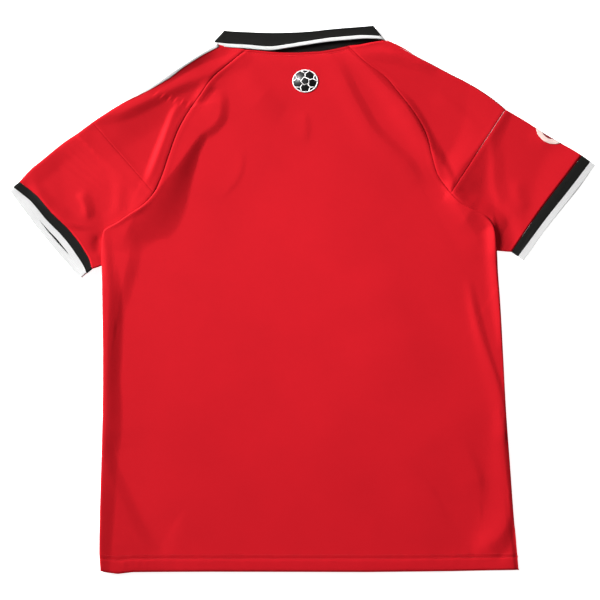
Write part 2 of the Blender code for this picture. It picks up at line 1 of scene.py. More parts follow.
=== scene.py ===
"""Football jersey, laid flat and face down on a pale floor.

Every piece of cloth is a thin wall on the form of its own CAD node. Lengths in the tables and the curves are in
millimetres, with +X to the right and +Y to the collar, and what makes a mesh scales them to metres.
"""
import math

import bmesh
import bpy
import numpy as np
from mathutils import Matrix, Vector


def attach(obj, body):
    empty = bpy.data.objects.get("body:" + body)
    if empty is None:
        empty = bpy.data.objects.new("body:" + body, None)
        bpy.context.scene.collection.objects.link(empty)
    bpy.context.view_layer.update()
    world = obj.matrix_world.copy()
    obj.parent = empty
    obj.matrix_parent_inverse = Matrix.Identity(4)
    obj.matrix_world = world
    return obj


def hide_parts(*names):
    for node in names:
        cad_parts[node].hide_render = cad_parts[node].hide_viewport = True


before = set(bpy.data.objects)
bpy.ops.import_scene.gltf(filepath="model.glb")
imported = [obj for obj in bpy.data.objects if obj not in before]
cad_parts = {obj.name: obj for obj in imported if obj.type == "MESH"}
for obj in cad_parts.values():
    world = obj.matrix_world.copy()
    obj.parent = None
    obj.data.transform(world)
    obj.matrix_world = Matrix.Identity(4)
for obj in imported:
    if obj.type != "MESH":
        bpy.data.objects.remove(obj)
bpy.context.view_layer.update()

bl_info = {
    "name": "Football Jersey",
    "version": (1, 0, 0),
    "blender": (4, 5, 0),
    "location": "3D View > Sidebar > Jersey",
    "description": "Builds a football jersey laid flat, piece by piece",
    "category": "Object",
}

MM = 0.001
SIDE_NAMES = ("left", "right")
OUTWARD = ((-1.0, 1.0), (1.0, 1.0))     # ways that point out of the left and the right shoulder

# Rooms and levels of the lay, in millimetres
SEAM_ROOM = 0.03              # how far a shoulder or a sleeve stays off its seam line
LAYER_ROOM = 0.15             # half the room between two layers that are sewn to each other
TRIM_ROOM = 0.15              # gap between a black rib and its white edge
CUFF_START = 0.2              # where the black band starts, off the sleeve
COLLAR_ROOM = (1.8, 0.9)      # how far the collar stands off the neckline, in front and on the back
TUCK_LEVELS = (3.05, 1.15)    # outer sides of the tucked sleeve, under the back panel and over the front one
BACK_OVER_TUCK = 3.85         # outer side of the back panel over the tucked sleeve
CROSS_DEPTH = 0.6             # depth of the cross seam, as a share of that of the others

# Columns of points near an edge that rolls, for an edge of that radius, and round a fold, from its top down
EDGE_STEPS = (0.0, 0.12, 0.4, 0.85, 1.45, 2.2, 2.9, 3.7, 4.7, 6.0, 8.0, 10.5)
EDGE_RADIUS = 2.9
ROUND_FOLD = np.radians(np.linspace(90.0, -90.0, 15)[1:-1])

# Stitches, in millimetres
HEM_ROWS = ((0.0, -0.3), (5.0, 0.05))     # the hem's two rows: height over its turned cloth, and how far raised
HEM_SPAN = (-266.0, 287.0)
NECK_ROW = 4.6                # the neck's row, below the neckline
NECK_SPAN = (-108.0, 108.0)
THREAD_GAP = 0.9              # from one stitch to the next
THREAD_LIFT = 0.12            # middle of a stitch over the cloth

HEM_CURVE = 55.0              # height over which the hem's curve fades out, in millimetres

# Round prints, in millimetres: segments, and height of the ground's outer side and of the lines' over the cloth
BADGE_SIDES, BADGE_LIFT = 72, (0.45, 0.62)
PATCH_SIDES, PATCH_LIFT = 96, (0.24, 0.36)
THIN_PRINT = 0.14             # thickness of the badge's lines and of the patch
RING_PRINT = 0.11

# The stage, in metres
FLOOR_HALF = 6.0
FLOOR_LEVEL = -0.00005        # just below the cloth, so that the two don't share a plane
FLOOR_GLOW = 0.86
KEY_PLACE, KEY_AIM = (-3.69, 2.23, 1.72), (0.0, 0.12, 0.0)
KEY_SIZE = 1.8
CROWN_PLACE = (0.05, 0.055, 2.0)
CROWN_RADIUS = 0.2
CROWN_ANGLE = math.radians(19.0)
CAMERA_PLAN = (-0.002, -0.00135)
SENSOR = 36.0                 # width of the camera's film, in millimetres

# Edge of the back from the hem up the sides, then up the raglan seams: (place, left x, left y, right x, right y)
BODY_EDGE = [
    ("hem", -271.5, -368, 293.5, -368),
    ("over the hem", -273, -343, 291.5, -343),
    ("low hip", -272.5, -300, 287.5, -300),
    ("hip", -270.5, -225, 282, -225),
    ("low waist", -268.5, -150, 276.5, -150),
    ("waist", -268, -75, 272.5, -75),
    ("ribs", -269, -5, 268.5, -5),
    ("low chest", -269.5, 36, 265.5, 36),
    ("tuck's end", -270, 66, 263.5, 68),
    ("underarm", -267.5, 90.5, 259.5, 96),
    ("under the sleeve", -248, 103.5, 249, 111),
    ("armhole", -230, 115.6, 235.5, 118.8),
    ("low bend", -212, 127.5, 216, 129),
    ("cross seam", -198.5, 142.5, 201.5, 142.5),
    ("high bend", -187.5, 166, 184.5, 167),
    ("blade", -178.5, 193, 176, 194),
    ("shoulder", -166, 227.5, 168, 224),
    ("high shoulder", -153.5, 250.5, 152, 252),
    ("collar bone", -138.5, 272, 134, 275),
    ("neck slope", -120, 298, 113, 300),
    ("neck", -98, 317, 86, 320),
    ("neckline", -75, 336.5, 63.5, 341.5),
]
# Outer folds of the shoulder panels, from the cross seam up: (place, left x, left y, right x, right y)
SHOULDER_FOLD = [
    ("cross seam", -281.5, 238.5, 275.5, 255.8),
    ("high bend", -262, 251, 260, 268.7),
    ("blade", -242, 263.8, 241, 282),
    ("shoulder", -220, 277, 222, 293.2),
    ("high shoulder", -198, 291, 201, 304),
    ("collar bone", -177, 305, 180, 315.2),
    ("neck slope", -156, 318.6, 158, 326.5),
    ("neck", -134, 332.6, 137, 337.5),
    ("neckline", -113.5, 344.6, 115.5, 345.5),
]
# Sleeves, from the cross seam to the cuff: (place, left seam x, y, left fold x, y, right seam x, y, right fold x, y)
SLEEVE = [
    ("cross seam", -198.5, 142.5, -281.5, 238.5, 201.5, 142.5, 275.5, 255.8),
    ("low bend", -212, 127.5, -291, 231.3, 216, 129, 286, 250),
    ("armhole", -230, 115.6, -301, 224, 235.5, 118.8, 297, 243.6),
    ("under the body", -249, 101, -311.5, 217.3, 250, 105, 308, 236.8),
    ("tuck", -260, 88, -322, 210.2, 255, 93, 319, 229.5),
    ("deep tuck", -262.5, 68, -336, 199, 259, 72, 333, 220.5),
    ("seam", -264, 49, -350, 187.3, 260, 66, 348, 211.8),
    ("mid seam", -272.5, 44, -365, 175.2, 271, 64.5, 364, 203),
    ("cuff", -282.5, 40.5, -380.5, 158.5, 284, 63.5, 378.5, 194),
]
SLEEVE_TUCK = (0.0, 0.35, 1.0, 1.0, 1.0, 1.0, 1.0, 0.3, 0.0)     # how far each of those places is tucked in
NECK_BACK = (-75, 336.5, 63.5, 341.5)      # ends of the back panel's neckline: left x, y, right x, y
NECK_FRONT = (-84, 322, 81, 327)
# Back neckline, as its height over the straight line between its ends: (share across, height)
NECK_DIP = [(0, 0), (0.12, -2.0), (0.3, -5.2), (0.5, -6.6), (0.7, -6.2), (0.85, -3.9), (1, 0)]
# How far the right shoulder's neck edge bulges up: (share from the raglan seam to the fold, height)
NECK_BULGE = [(0, 0), (0.27, 1.4), (0.5, 3.9), (0.75, 5.6), (0.9, 3.6), (1, 0)]
# Edge of the collar on the back, from left to right: (neck x, roll x, roll y, edge x, edge y)
COLLAR_BACK = [
    (-112, -101.5, 361.8, -119.0, 342.4),
    (-97, -88, 361.0, -99, 339.6),
    (-75, -70, 360.2, -75, 338.0),
    (-44, -40, 359.3, -44, 335.6),
    (-18, -14, 359.7, -18, 338.8),
    (10, 12, 361.2, 10, 343.2),
    (38, 38, 364.0, 38, 347.2),
    (66, 65, 366.4, 66, 349.7),
    (88, 80, 367.5, 88, 351.3),
    (106, 94, 368.5, 107, 350.6),
]
# The same of the collar's front leaf on the left and on the right, from the side to the middle
COLLAR_FRONT_LEFT = [
    (-110, -101, 360, -118, 341.5),
    (-98, -85, 348, -103, 335),
    (-84, -66, 332, -97, 312),
    (-65, -46, 306, -92, 272),
    (-36, -22, 283, -72, 228),
    (-3, -3, 260, -34, 196),
]
COLLAR_FRONT_RIGHT = [
    (104, 94, 366, 114.5, 343.5),
    (96, 82, 352, 103, 338),
    (81, 64, 336, 95, 316),
    (63, 44, 309, 91, 275),
    (34, 21, 285, 70, 230),
    (2, 2, 260, 33, 197),
]
# Curve of each cuff's seam, as its distance out from the straight line between its ends: (share from the
# underarm seam to the fold, left back, left front, right back, right front)
CUFF_BOW = [
    (0.0, 0.0, 0.0, 0.0, 0.0),
    (0.09, -5.7, -2.6, -0.8, -0.6),
    (0.18, -7.9, -3.4, -1.3, -1.0),
    (0.29, -9.6, -3.8, -1.7, -1.2),
    (0.39, -9.7, -3.8, -2.0, -1.2),
    (0.5, -8.2, -3.4, -2.0, -1.0),
    (0.63, -6.3, -2.8, -1.6, -0.4),
    (0.78, -6.2, -2.0, -0.9, 0.6),
    (0.91, -3.2, -0.8, -0.4, 0.6),
    (1.0, 0.0, 0.0, 0.0, 0.0),
]
# Width of the black band and reach of the white edge along each cuff, in the same places:
# (share, left band, left reach, right band, right reach, left band in front, left reach in front)
CUFF_WIDTH = [
    (0.0, 9.0, 18.5, 10.4, 19.6, 9.0, 20.0),
    (0.1, 11.5, 20.2, 11.5, 21.0, 13.0, 24.6),
    (0.25, 12.2, 20.6, 12.3, 20.9, 16.2, 26.0),
    (0.39, 12.2, 20.4, 12.8, 21.3, 17.6, 26.4),
    (0.5, 12.0, 20.0, 13.4, 21.8, 17.6, 25.6),
    (0.62, 11.5, 18.9, 14.0, 22.2, 16.6, 25.0),
    (0.7, 11.2, 18.4, 14.2, 22.4, 14.6, 24.2),
    (0.85, 11.1, 18.6, 14.2, 22.4, 12.0, 22.2),
    (1.0, 11.0, 19.2, 14.0, 22.2, 11.0, 19.2),
]
# Side of the tape that shows on the back, from the cross seam to the neck: (share, left, right)
TAPE_SHOWN = [
    (0.0, 0.0, 0.0), (0.2, 0.8, 0.2), (0.33, 2.2, 0.5), (0.48, 4.9, 1.0), (0.6, 6.4, 1.1), (0.72, 4.4, 1.1),
    (0.85, 4.2, 1.0), (1.0, 5.0, 0.6),
]
HEM_LINE = [(-272, 0.8), (-262, -1.2), (-248, -3.2), (-228, -0.9), (-120, -0.4), (90, -0.9), (200, 0.0), (293, 1.8)]

# Folds of the cloth: (name, points, width on the left, width on the right, height), and for some also the share of
# the length over which the fold fades in, and the same at its end. The points were placed on a grid over the
# flat jersey, in squares from its upper left corner, and are worked out to whole millimetres. Widths and heights are
# in millimetres. The height is + for a crest and - for a hollow. Left and right are as seen along the run. A width
# under 0 is that of a straight slope with a clear foot, and a tuple has a value for each point.
GRID_MIDDLE = (301.5, 299.0)      # place of the jersey's origin on the grid
GRID_SQUARE = (1.35, -1.35)       # size of a square in millimetres, to the right and down
FOLDS = [
    # left shoulder
    ("shoulder shelf",
     [(216, 90), (221, 103), (219, 116), (211, 127), (202, 133), (192, 146), (178, 166), (161, 187), (148, 202),
      (135, 216), (127, 232), (122, 252)],
     (-11, -12, -13, -12, -11, -15, -26, -45, -54, -55, -40, -26),
     (-60, -60, -80, -110, -150, -220, -300, -300, -220, -120, -80, -60),
     (0, 1.5, 2, 2, 2.2, 3.7, 6.2, 7.9, 8.1, 6.8, 3.8, 0)),
    ("raglan crest", [(185, 98), (175, 113), (169, 128), (162, 147), (156, 163), (152, 174), (147, 186)],
     -16, 5, (0, 1.1, 1.4, 1.5, 1.5, 1.3, 0.3)),
    ("shoulder fall", [(88, 125), (128, 100.5), (160, 80.5), (191, 60.5), (213, 47)],
     5, -54, (2.2, 4, 4.2, 3.2, 0.5)),
    ("tape edge", [(138, 93), (162, 79), (185, 65), (203, 53), (218, 46)],
     4, (-11, -11, -11, -14, -18), (0, 1.6, 2.2, 2.7, 1.6)),
    ("shoulder hollow", [(178, 98), (168, 113), (162, 128), (155, 146), (149, 162), (142, 180)],
     5, -54, (0, -0.9, -1.1, -1.4, -1.4, -0.4)),
    ("tape ridge", [(98, 118), (122, 113), (145, 103), (165, 93), (185, 84), (208, 75), (222, 66), (238, 57)],
     11, (-12, -13, -13, -12, -12, -13, -16, -22), (0.7, 1.6, 1.8, 1.7, 1.5, 1.2, 1.1, 1)),
    ("neck seam ridge", [(213, 80), (204, 91), (193, 107)], -12, 5, 1.5, 0.3, 0.3),
    ("blade line", [(242, 146), (242, 165), (232, 187), (217, 199)], -5, 12, 0.3, 0.3, 0.3),
    # left sleeve
    ("cross seam rise", [(97, 129), (122, 157), (148, 187)], 4, 11, (0.5, 0.7, 0.6), 0.15, 0.2),
    ("sleeve crest", [(111, 173), (119, 188), (119, 203), (113, 219)], -14, 7, (0, 0.9, 1, 0)),
    ("sleeve dimple", [(78, 191), (85, 204), (88, 221)], -12, 5, 1.3, 0.3, 0.3),
    ("cuff ridge", [(34, 190), (45, 204), (60, 217), (72, 225), (88, 228)],
     (-12, -16, -16, -14, -8), 3, (0.8, 2.1, 2.2, 1.7, 0.3)),
    ("sleeve fold ridge", [(18, 180), (43, 161), (66, 142), (92, 124)], 4, -24, (1.4, 1.7, 1.2, 0.4)),
    ("sleeve fall", [(19, 180), (55.5, 152), (92, 124)], 4, -105, (2.2, 3.4, 1.5)),
    ("cuff corner", [(33, 182), (38, 192), (46, 204)], -13, -10, (0.5, 1.1, 0.4)),
    ("underarm hollow", [(99, 234), (97, 245), (97, 256)], 6, 6, -1.1, 0.3, 0.3),
    # left side
    ("underarm roll", [(104.5, 236), (106.5, 262), (106.5, 285)], -10, -8, (0.3, 1.1, 0.3)),
    ("side wedge", [(131, 240), (129, 256), (125, 272), (121, 292), (117, 318)],
     (-15, -17, -17, -15, -10), -60, (0.3, 1.4, 1.7, 1.2, 0.3)),
    ("side roll",
     [(109, 262), (109, 292), (108, 320), (107.5, 355), (107, 380), (107, 405), (106, 430), (104.5, 452),
      (103, 475), (101.5, 505), (100.5, 540), (99.5, 573)],
     (-12, -18, -21, -20, -19, -21, -22, -20, -19, -19, -16, -14), -60,
     (0, 3, 4, 3.9, 3.8, 3.6, 3, 1.9, 1.5, 2, 1.8, 1)),
    ("corner fall", [(101, 462), (101, 490), (100, 520), (100, 548), (99.5, 573)],
     (-20, -40, -66, -84, -90), -50, (0, 1.2, 2, 2.2, 2)),
    ("hem sweep",
     [(111, 432), (115, 452), (126, 483), (134, 500), (142, 518), (151, 534), (161, 545), (174, 551)],
     -70, -16, (0, -1, -1.2, -1.2, -1.2, -1.2, -0.9, 0)),
    ("hem tick", [(124, 558), (124.5, 568)], 3, 2.5, 0.4, 0.3, 0.1),
    ("hem tick", [(138, 558), (138, 568)], 3, 2.5, 0.35, 0.3, 0.1),
    ("hem tick", [(146, 559), (146, 568)], 3, 2.5, 0.3, 0.3, 0.1),
    ("seam roll", [(152, 202), (140, 209), (127, 215), (111, 227)], -9, -70, (0, 0.9, 1.1, 0.3)),
    ("fan line", [(130, 247), (160, 265), (197, 281)], 4, 5, 0.3, 0.3, 0.4),
    # right side
    ("right raglan crest",
     [(355, 56), (373, 74), (391, 92), (405, 107), (415, 122), (426, 141), (438, 158), (447, 171), (452, 180)],
     (-7, -9, -11, -14, -15, -14, -12, -8, -6), (10, 12, 16, 20, 20, 18, 16, 12, 8),
     (0.8, 2, 3, 3.8, 4, 3.5, 2.9, 2, 0.8)),
    ("blade ridge", [(446, 180), (455, 200), (466, 220), (478, 240), (486, 258)],
     -20, -30, (0, 1.3, 1.6, 1.3, 0)),
    ("chest ridge", [(336, 62), (347, 84), (359, 108), (373, 131), (392, 149), (408, 165), (420, 186)],
     -12, 18, (0.3, 1.3, 1.7, 1.8, 1.8, 1.4, 0.2)),
    ("neck pleat", [(351, 49), (366, 46), (380, 43)], 3.5, 4, 0.6, 0.3, 0.3),
    ("neck fold", [(365, 53), (392, 56), (420, 64), (436, 72)], 6, -12, (0.8, 1.8, 1.4, 0)),
    ("shoulder line", [(430, 92), (456, 108), (472, 121), (487, 132)], -9, 14, 0.6, 0.3, 0.3),
    ("right cross rise", [(505, 110), (495, 124.5), (483, 140.5), (471, 155), (460, 169), (452, 185)],
     (-12, -18, -24, -30, -40, -30), (-62, -48, -34, -28, -24, -14), (1.4, 1.8, 1.8, 2.2, 2.9, 1.8)),
    ("armhole step", [(451.5, 190), (459, 199.5), (472, 207.5), (485, 215.5), (494.5, 226), (496, 250)],
     (-14, -16, -18, -18, -19, -19), (8, 12, 16, 14, 12, 12), (1, 3.4, 4.8, 4.6, 3.4, 2.2)),
    ("armhole hollow", [(468, 172), (480, 186), (493, 199), (506, 213), (514, 232), (514, 250)],
     7, 8, (-0.2, -0.5, -0.6, -0.6, -0.8, -0.6)),
    ("right sleeve crest", [(491, 136), (493, 155), (494, 178), (499, 200), (506, 217)],
     -16, 6, (0.3, 1, 1.1, 0.9, 0)),
    ("sleeve swell", [(517, 176), (519, 196), (525, 214)], -14, 7, 0.6, 0.3, 0.3),
    ("right cuff rise", [(583, 158), (564, 184), (550, 205), (536, 226)],
     -200, (-46, -40, -28, -16), (2.8, 2.5, 1.8, 0.5)),
    ("patch shade", [(528, 134), (545, 141), (566, 146)], 8, -15, (0, 1, 0.2)),
    ("right edge roll", [(494, 224), (494.5, 240), (495.5, 262), (498, 290), (500, 318), (501.5, 345)],
     -5, (8, 9, 9, 9, 7, 5), (1.8, 2.6, 2.6, 2.4, 1.8, 0.6)),
    ("waist ridge", [(469, 284), (474, 310), (481, 335), (489, 358), (496, 380), (502, 405), (505, 432)],
     (-8, -9, -9, -7, -6, -6, -6), (6, 7, 8, 11, 13, 12, 11), (0.3, 1.3, 1.3, 1.1, 1.1, 1.1, 1.1)),
    ("hip roll",
     [(502, 420), (504, 445), (506, 470), (509, 495), (509.5, 512), (507, 525), (499, 537), (488, 545.5),
      (474, 552)],
     (-6, -7, -8, -7, -8, -12, -20, -24, -16), (13, 15, 17, 20, 22, 24, 24, 20, 14),
     (0.8, 1.5, 1.8, 1.7, 1.7, 2.1, 2.6, 2.2, 0.4)),
    ("corner edge", [(509, 526), (512, 548), (514, 571)], -5, 34, (0.3, 1, 1)),
    ("hip line", [(462, 440), (470, 458), (478, 480), (480, 498)], 8, 26, (0.1, 0.5, 1, 0.3)),
    ("waist sweep", [(366, 255), (388, 300), (405, 345), (425, 390)], 30, 60, 1, 0.3, 0.4),
    # middle
    ("neck sag", [(246, 66), (252, 82), (263, 96), (286, 110)], 15, 22, (0.3, 1.1, 1.5, 0)),
    ("hip hollow", [(503, 400), (505, 450), (504, 490), (494, 524), (470, 548), (430, 562)],
     -400, (-60, -120, -170, -180, -170, -150), (0, -1.8, -2.8, -3, -2.6, -1.2)),
    ("badge line", [(303, 110), (306, 128), (304, 146)], 5, 12, 0.45, 0.3, 0.4),
]


def length_property(name, description, default, low, high):
    """A length in metres, from its default and limits in millimetres."""
    return bpy.props.FloatProperty(
        name=name, description=description, default=default * MM, min=low * MM, max=high * MM,
        subtype="DISTANCE", unit="LENGTH",
    )


def colour_property(name, description, *rgb):
    return bpy.props.FloatVectorProperty(
        name=name, description=description, size=4, subtype="COLOR", default=(*rgb, 1.0), min=0.0, max=1.0,
    )


class JerseySizes(bpy.types.PropertyGroup):
    """Sizes of the cloth, its seams and its folds."""
    top: length_property("Height", "Height of the back's outer side over the floor", 5.8, 3.0, 20.0)
    cloth: length_property("Cloth", "Thickness of the knitted cloth", 0.8, 0.3, 2.0)
    rib: length_property("Rib", "Thickness of the ribbed collar", 1.3, 0.5, 3.0)
    trim: length_property("Trim", "Thickness of the tapes and the badge", 0.3, 0.1, 1.0)
    folds: bpy.props.FloatProperty(
        name="Folds", description="Strength of the folds", default=1.0, min=0.0, max=2.0, subtype="FACTOR",
    )
    seam_depth: length_property("Seam Depth", "How far the cloth dips into a seam", 0.5, 0.0, 2.0)
    hem: length_property("Hem", "Depth of the turned hem", 18.2, 10.0, 40.0)
    tip: length_property("Collar Tip", "Width of the collar's white edge", 5.0, 2.0, 12.0)
    stitch: length_property("Stitch", "Length of a stitch", 2.6, 1.0, 6.0)
    badge: bpy.props.FloatVectorProperty(
        name="Badge", description="Half width and half height of the neck badge", size=2,
        default=(17.5 * MM, 15.5 * MM), subtype="XYZ", unit="LENGTH",
    )
    patch: length_property("Patch", "Radius of the sleeve patch", 25.8, 10.0, 40.0)


class JerseyColours(bpy.types.PropertyGroup):
    """Colours of the cloth and the trims."""
    knit: colour_property("Knit", "Colour of the body and the sleeves", 0.50, 0.0072, 0.0138)
    rib: colour_property("Rib", "Colour of the collar and the cuff bands", 0.0040, 0.0040, 0.0034)
    edge: colour_property("Edge", "Colour of the white edges of the collar and the cuffs", 0.60, 0.60, 0.60)
    tape: colour_property("Tape", "Colour of the shoulder tapes and the badge", 0.66, 0.64, 0.64)
    ring: colour_property("Ring", "Colour of the patch's ring", 0.80, 0.60, 0.55)
    patch: colour_property("Patch", "Colour inside the patch's ring", 0.22, 0.012, 0.02)
    floor: colour_property("Floor", "Colour of the floor", 0.95, 0.95, 0.95)


class JerseyStage(bpy.types.PropertyGroup):
    """Camera and lights."""
    camera_height: bpy.props.FloatProperty(
        name="Camera Height", description="Height of the camera over the cloth", default=2.4, min=0.5, max=10.0,
        subtype="DISTANCE", unit="LENGTH",
    )
    frame_width: bpy.props.FloatProperty(
        name="Frame Width", description="Width of what the camera sees at the cloth", default=0.81, min=0.1, max=3.0,
        subtype="DISTANCE", unit="LENGTH",
    )
    key: bpy.props.FloatProperty(
        name="Key Light", description="Power of the main light, at the upper left", default=43.0, min=0.0,
        unit="POWER",
    )
    key_spread: bpy.props.FloatProperty(
        name="Key Spread", description="Angle that the main light spreads over", default=math.radians(36.0), min=0.1,
        max=math.pi, subtype="ANGLE", unit="ROTATION",
    )
    crown: bpy.props.FloatProperty(
        name="Crown Power", description="Power of the soft lamp straight over the middle", default=18.0, min=0.0,
        unit="POWER",
    )
    fill: bpy.props.FloatProperty(
        name="Fill", description="Strength of the light from all round", default=0.16, min=0.0, max=5.0,
    )


def sizes():
    return bpy.context.scene.jersey_sizes


def colour_of(name):
    return tuple(getattr(bpy.context.scene.jersey_colours, name))


def in_mm(length):
    return length / MM


# ---- curves and surfaces -------------------------------------------------------------------------------------


def mix(a, b, t):
    return a + (b - a) * t


def smooth(t):
    t = np.clip(t, 0.0, 1.0)
    return t * t * (3.0 - 2.0 * t)


def table(rows, share, column=1):
    """Value of a table's column at share, from its first column."""
    rows = np.array(rows, dtype=float)
    return np.interp(share, rows[:, 0], rows[:, column])


def smooth_run(points, knots, at):
    """Points of a smooth curve through points, which lie at knots, at the places at. It doesn't overshoot."""
    points, knots, at = np.asarray(points, float), np.asarray(knots, float), np.asarray(at, float)
    step = np.diff(knots)[:, None]
    slope = np.diff(points, axis=0) / step
    before, after = slope[:-1], slope[1:]
    size = np.minimum(np.abs(before), np.abs(after)) * 2.0
    middle = (before * step[1:] + after * step[:-1]) / (step[1:] + step[:-1])
    middle = np.where(before * after > 0, np.clip(middle, -size, size), middle * 0.35)
    tangent = np.vstack([slope[:1], middle, slope[-1:]])
    i = np.clip(np.searchsorted(knots, at, side="right") - 1, 0, len(knots) - 2)
    h = step[i]
    t = ((at - knots[i]) / h[:, 0])[:, None]
    return (
        points[i] * (1 + 2 * t) * (1 - t) ** 2
        + tangent[i] * h * t * (1 - t) ** 2
        + points[i + 1] * t * t * (3 - 2 * t)
        + tangent[i + 1] * h * t * t * (t - 1)
    )


def chord_knots(points):
    """Length of the straight run to each point."""
    return np.concatenate([[0.0], np.cumsum(np.linalg.norm(np.diff(points, axis=0), axis=1))])


def unit(v):
    return v / np.linalg.norm(v, axis=-1, keepdims=True)


def square_to(line, outward):
    """Unit vectors in plan, square to a run of points and on the side of outward."""
    along = unit(np.gradient(line, axis=0))
    way = np.stack([-along[:, 1], along[:, 0]], axis=1)
    return np.where((way @ np.array(outward) > 0)[:, None], way, -way)


def across_line(x, y, points):
    """Distance from each point to an open run of points, + to the left of it, and the share of the run there."""
    best = np.full(x.shape, np.inf)
    side = np.zeros(x.shape)
    share = np.zeros(x.shape)
    last = len(points) - 1
    for i, ((ax, ay), (bx, by)) in enumerate(zip(points, points[1:])):
        dx, dy = bx - ax, by - ay
        along = np.clip(((x - ax) * dx + (y - ay) * dy) / (dx * dx + dy * dy), 0.0, 1.0)
        distance = np.hypot(x - ax - along * dx, y - ay - along * dy)
        near = distance < best
        best = np.where(near, distance, best)
        side = np.where(near, dx * (y - ay) - dy * (x - ax), side)
        share = np.where(near, (i + along) / last, share)
    return best * np.where(side >= 0, 1.0, -1.0), share


def fold_relief(x, y):
    """Height that the folds add to the cloth."""
    height = np.zeros(np.shape(x))
    for _, points, left, right, rise, *fades in FOLDS:
        start, end = fades or (0, 0)
        line = np.round((np.array(points) - GRID_MIDDLE) * GRID_SQUARE)
        reach = max(2.6 * np.abs(left).max(), 2.6 * np.abs(right).max())
        near = (
            (x > line[:, 0].min() - reach) & (x < line[:, 0].max() + reach)
            & (y > line[:, 1].min() - reach) & (y < line[:, 1].max() + reach)
        )
        if not near.any():
            continue
        knots = chord_knots(line)
        line = smooth_run(line, knots, np.linspace(0.0, knots[-1], 6 * len(line)))
        distance, share = across_line(x[near], y[near], line)

        def along_run(value):
            return np.interp(share, knots / knots[-1], value) if isinstance(value, tuple) else value

        width = np.where(distance > 0, along_run(left), along_run(right))
        far = np.abs(distance / width)
        slope = np.clip(1.0 - far, 0.0, 1.0)
        profile = np.where(width > 0, np.exp(-(far**2)), 0.6 * slope + 0.4 * smooth(slope))
        fade = (smooth(share / start) if start else 1.0) * (smooth((1.0 - share) / end) if end else 1.0)
        height[near] += along_run(rise) * fade * profile
    return height * sizes().folds


def drift(x, y):
    """Slow unevenness of cloth that lies loose."""
    return (
        0.16 * np.sin(x / 31.0 + 1.3 * np.sin(y / 47.0))
        + 0.14 * np.sin(y / 37.0 + 1.7 * np.sin(x / 53.0 + 2.0))
        + 0.05 * np.sin(x / 13.0 + y / 17.0 + 2.0 * np.sin(y / 29.0))
    ) * sizes().folds


def dome(x, y):
    """Low swell of the body."""
    sides = (1.0 - 0.3 * smooth((-x - 110.0) / 160.0)) * (1.0 - smooth((x - 20.0) / 260.0))
    return 3.2 * smooth((y + 372.0) / 430.0) * smooth((372.0 - y) / 60.0) * sides * sizes().folds


def top_level(x, y):
    """Height of the back's outer side."""
    return in_mm(sizes().top) + dome(x, y) + fold_relief(x, y) + drift(x, y)


def neck_height(x, is_back):
    """Height y of the neckline at x, over the shoulder panels and the body panel."""
    lx, ly, rx, ry = NECK_BACK if is_back else NECK_FRONT
    _, fold_lx, fold_ly, fold_rx, fold_ry = SHOULDER_FOLD[-1]
    share = np.clip((x - lx) / (rx - lx), 0.0, 1.0)
    middle = mix(ly, ry, share) + neck_curve(share, is_back)
    left = mix(fold_ly, ly, (x - fold_lx) / (lx - fold_lx))
    out = np.clip((x - rx) / (fold_rx - rx), 0.0, 1.0)
    right = mix(ry, fold_ry, out) + (table(NECK_BULGE, out) if is_back else 0.0)
    return np.where(x < lx, left, np.where(x > rx, right, middle))


def neck_curve(share, is_back):
    """How far the neckline stands over the straight line between its ends."""
    if is_back:
        rows = np.array(NECK_DIP, float)
        flat = np.atleast_1d(share)
        return smooth_run(rows[:, 1:], rows[:, 0], flat.ravel())[:, 0].reshape(np.shape(share))
    return -82.0 * (1.0 - np.abs(2.0 * share - 1.0) ** 1.35)


def fold_line(side):
    """Points of one top fold, from the neckline to the cuff."""
    shoulder = [(row[1 + 2 * side], row[2 + 2 * side]) for row in reversed(SHOULDER_FOLD)]
    return shoulder + [(row[3 + 4 * side], row[4 + 4 * side]) for row in SLEEVE[1:]]


def front_level(x, y):
    """Height of the front's outer side: on the floor, but over the tape, the patch and the collar's leaf."""
    beside = np.minimum(*(np.abs(across_line(x, y, fold_line(side))[0]) for side in (0, 1)))
    steps = np.linspace(-112, 115, 24)
    neck = np.stack([steps, neck_height(steps, False)], axis=1)
    near_neck = np.abs(across_line(x, y, neck)[0])
    trim = (in_mm(sizes().trim) + 0.25) * smooth((60.0 - beside) / 26.0)
    leaf = (in_mm(sizes().rib) + 0.3) * smooth((96.0 - near_neck) / 30.0)
    return np.maximum(trim, leaf)


def edge_places(radius):
    """Distances from an edge of that radius, close together where it turns."""
    return np.array(EDGE_STEPS)[None, :] * radius / EDGE_RADIUS


def from_edge(width, columns, radius):
    """Distances from the left edge for rows of those widths, close together at both edges."""
    edge = edge_places(radius) + 0.0 * width
    even = np.linspace(0.0, 1.0, columns + 1)[1:-1]
    inner = edge[:, -1:] + (width - 2 * edge[:, -1:]) * (even - 0.075 * np.sin(2.0 * np.pi * even))
    return np.concatenate([edge, inner, width - edge[:, ::-1]], axis=1)


def rolled(distance, radius):
    """How far a rolled edge has dropped, from 1 at the edge to 0 at its radius."""
    inside = np.clip(1.0 - distance / radius, 0.0, 1.0)
    return 1.0 - (1.0 - inside**4) ** 0.25


def corner(angle):
    """Sine and cosine of an angle, pushed out so that a fold is a little squarer than round."""
    sine, cosine = np.sin(angle), np.cos(angle)
    return np.sign(sine) * np.abs(sine) ** 0.55, np.abs(cosine) ** 0.55


def seam_dip(distance):
    """Dip of the cloth into a flat seam, and the low ridge of the seam's turnings beside it."""
    depth = in_mm(sizes().seam_depth)
    return -depth * np.exp(-((distance / 1.0) ** 2)) + 0.16 * np.exp(-(((distance - 5.0) / 2.6) ** 2))


# ---- meshes and materials ------------------------------------------------------------------------------------


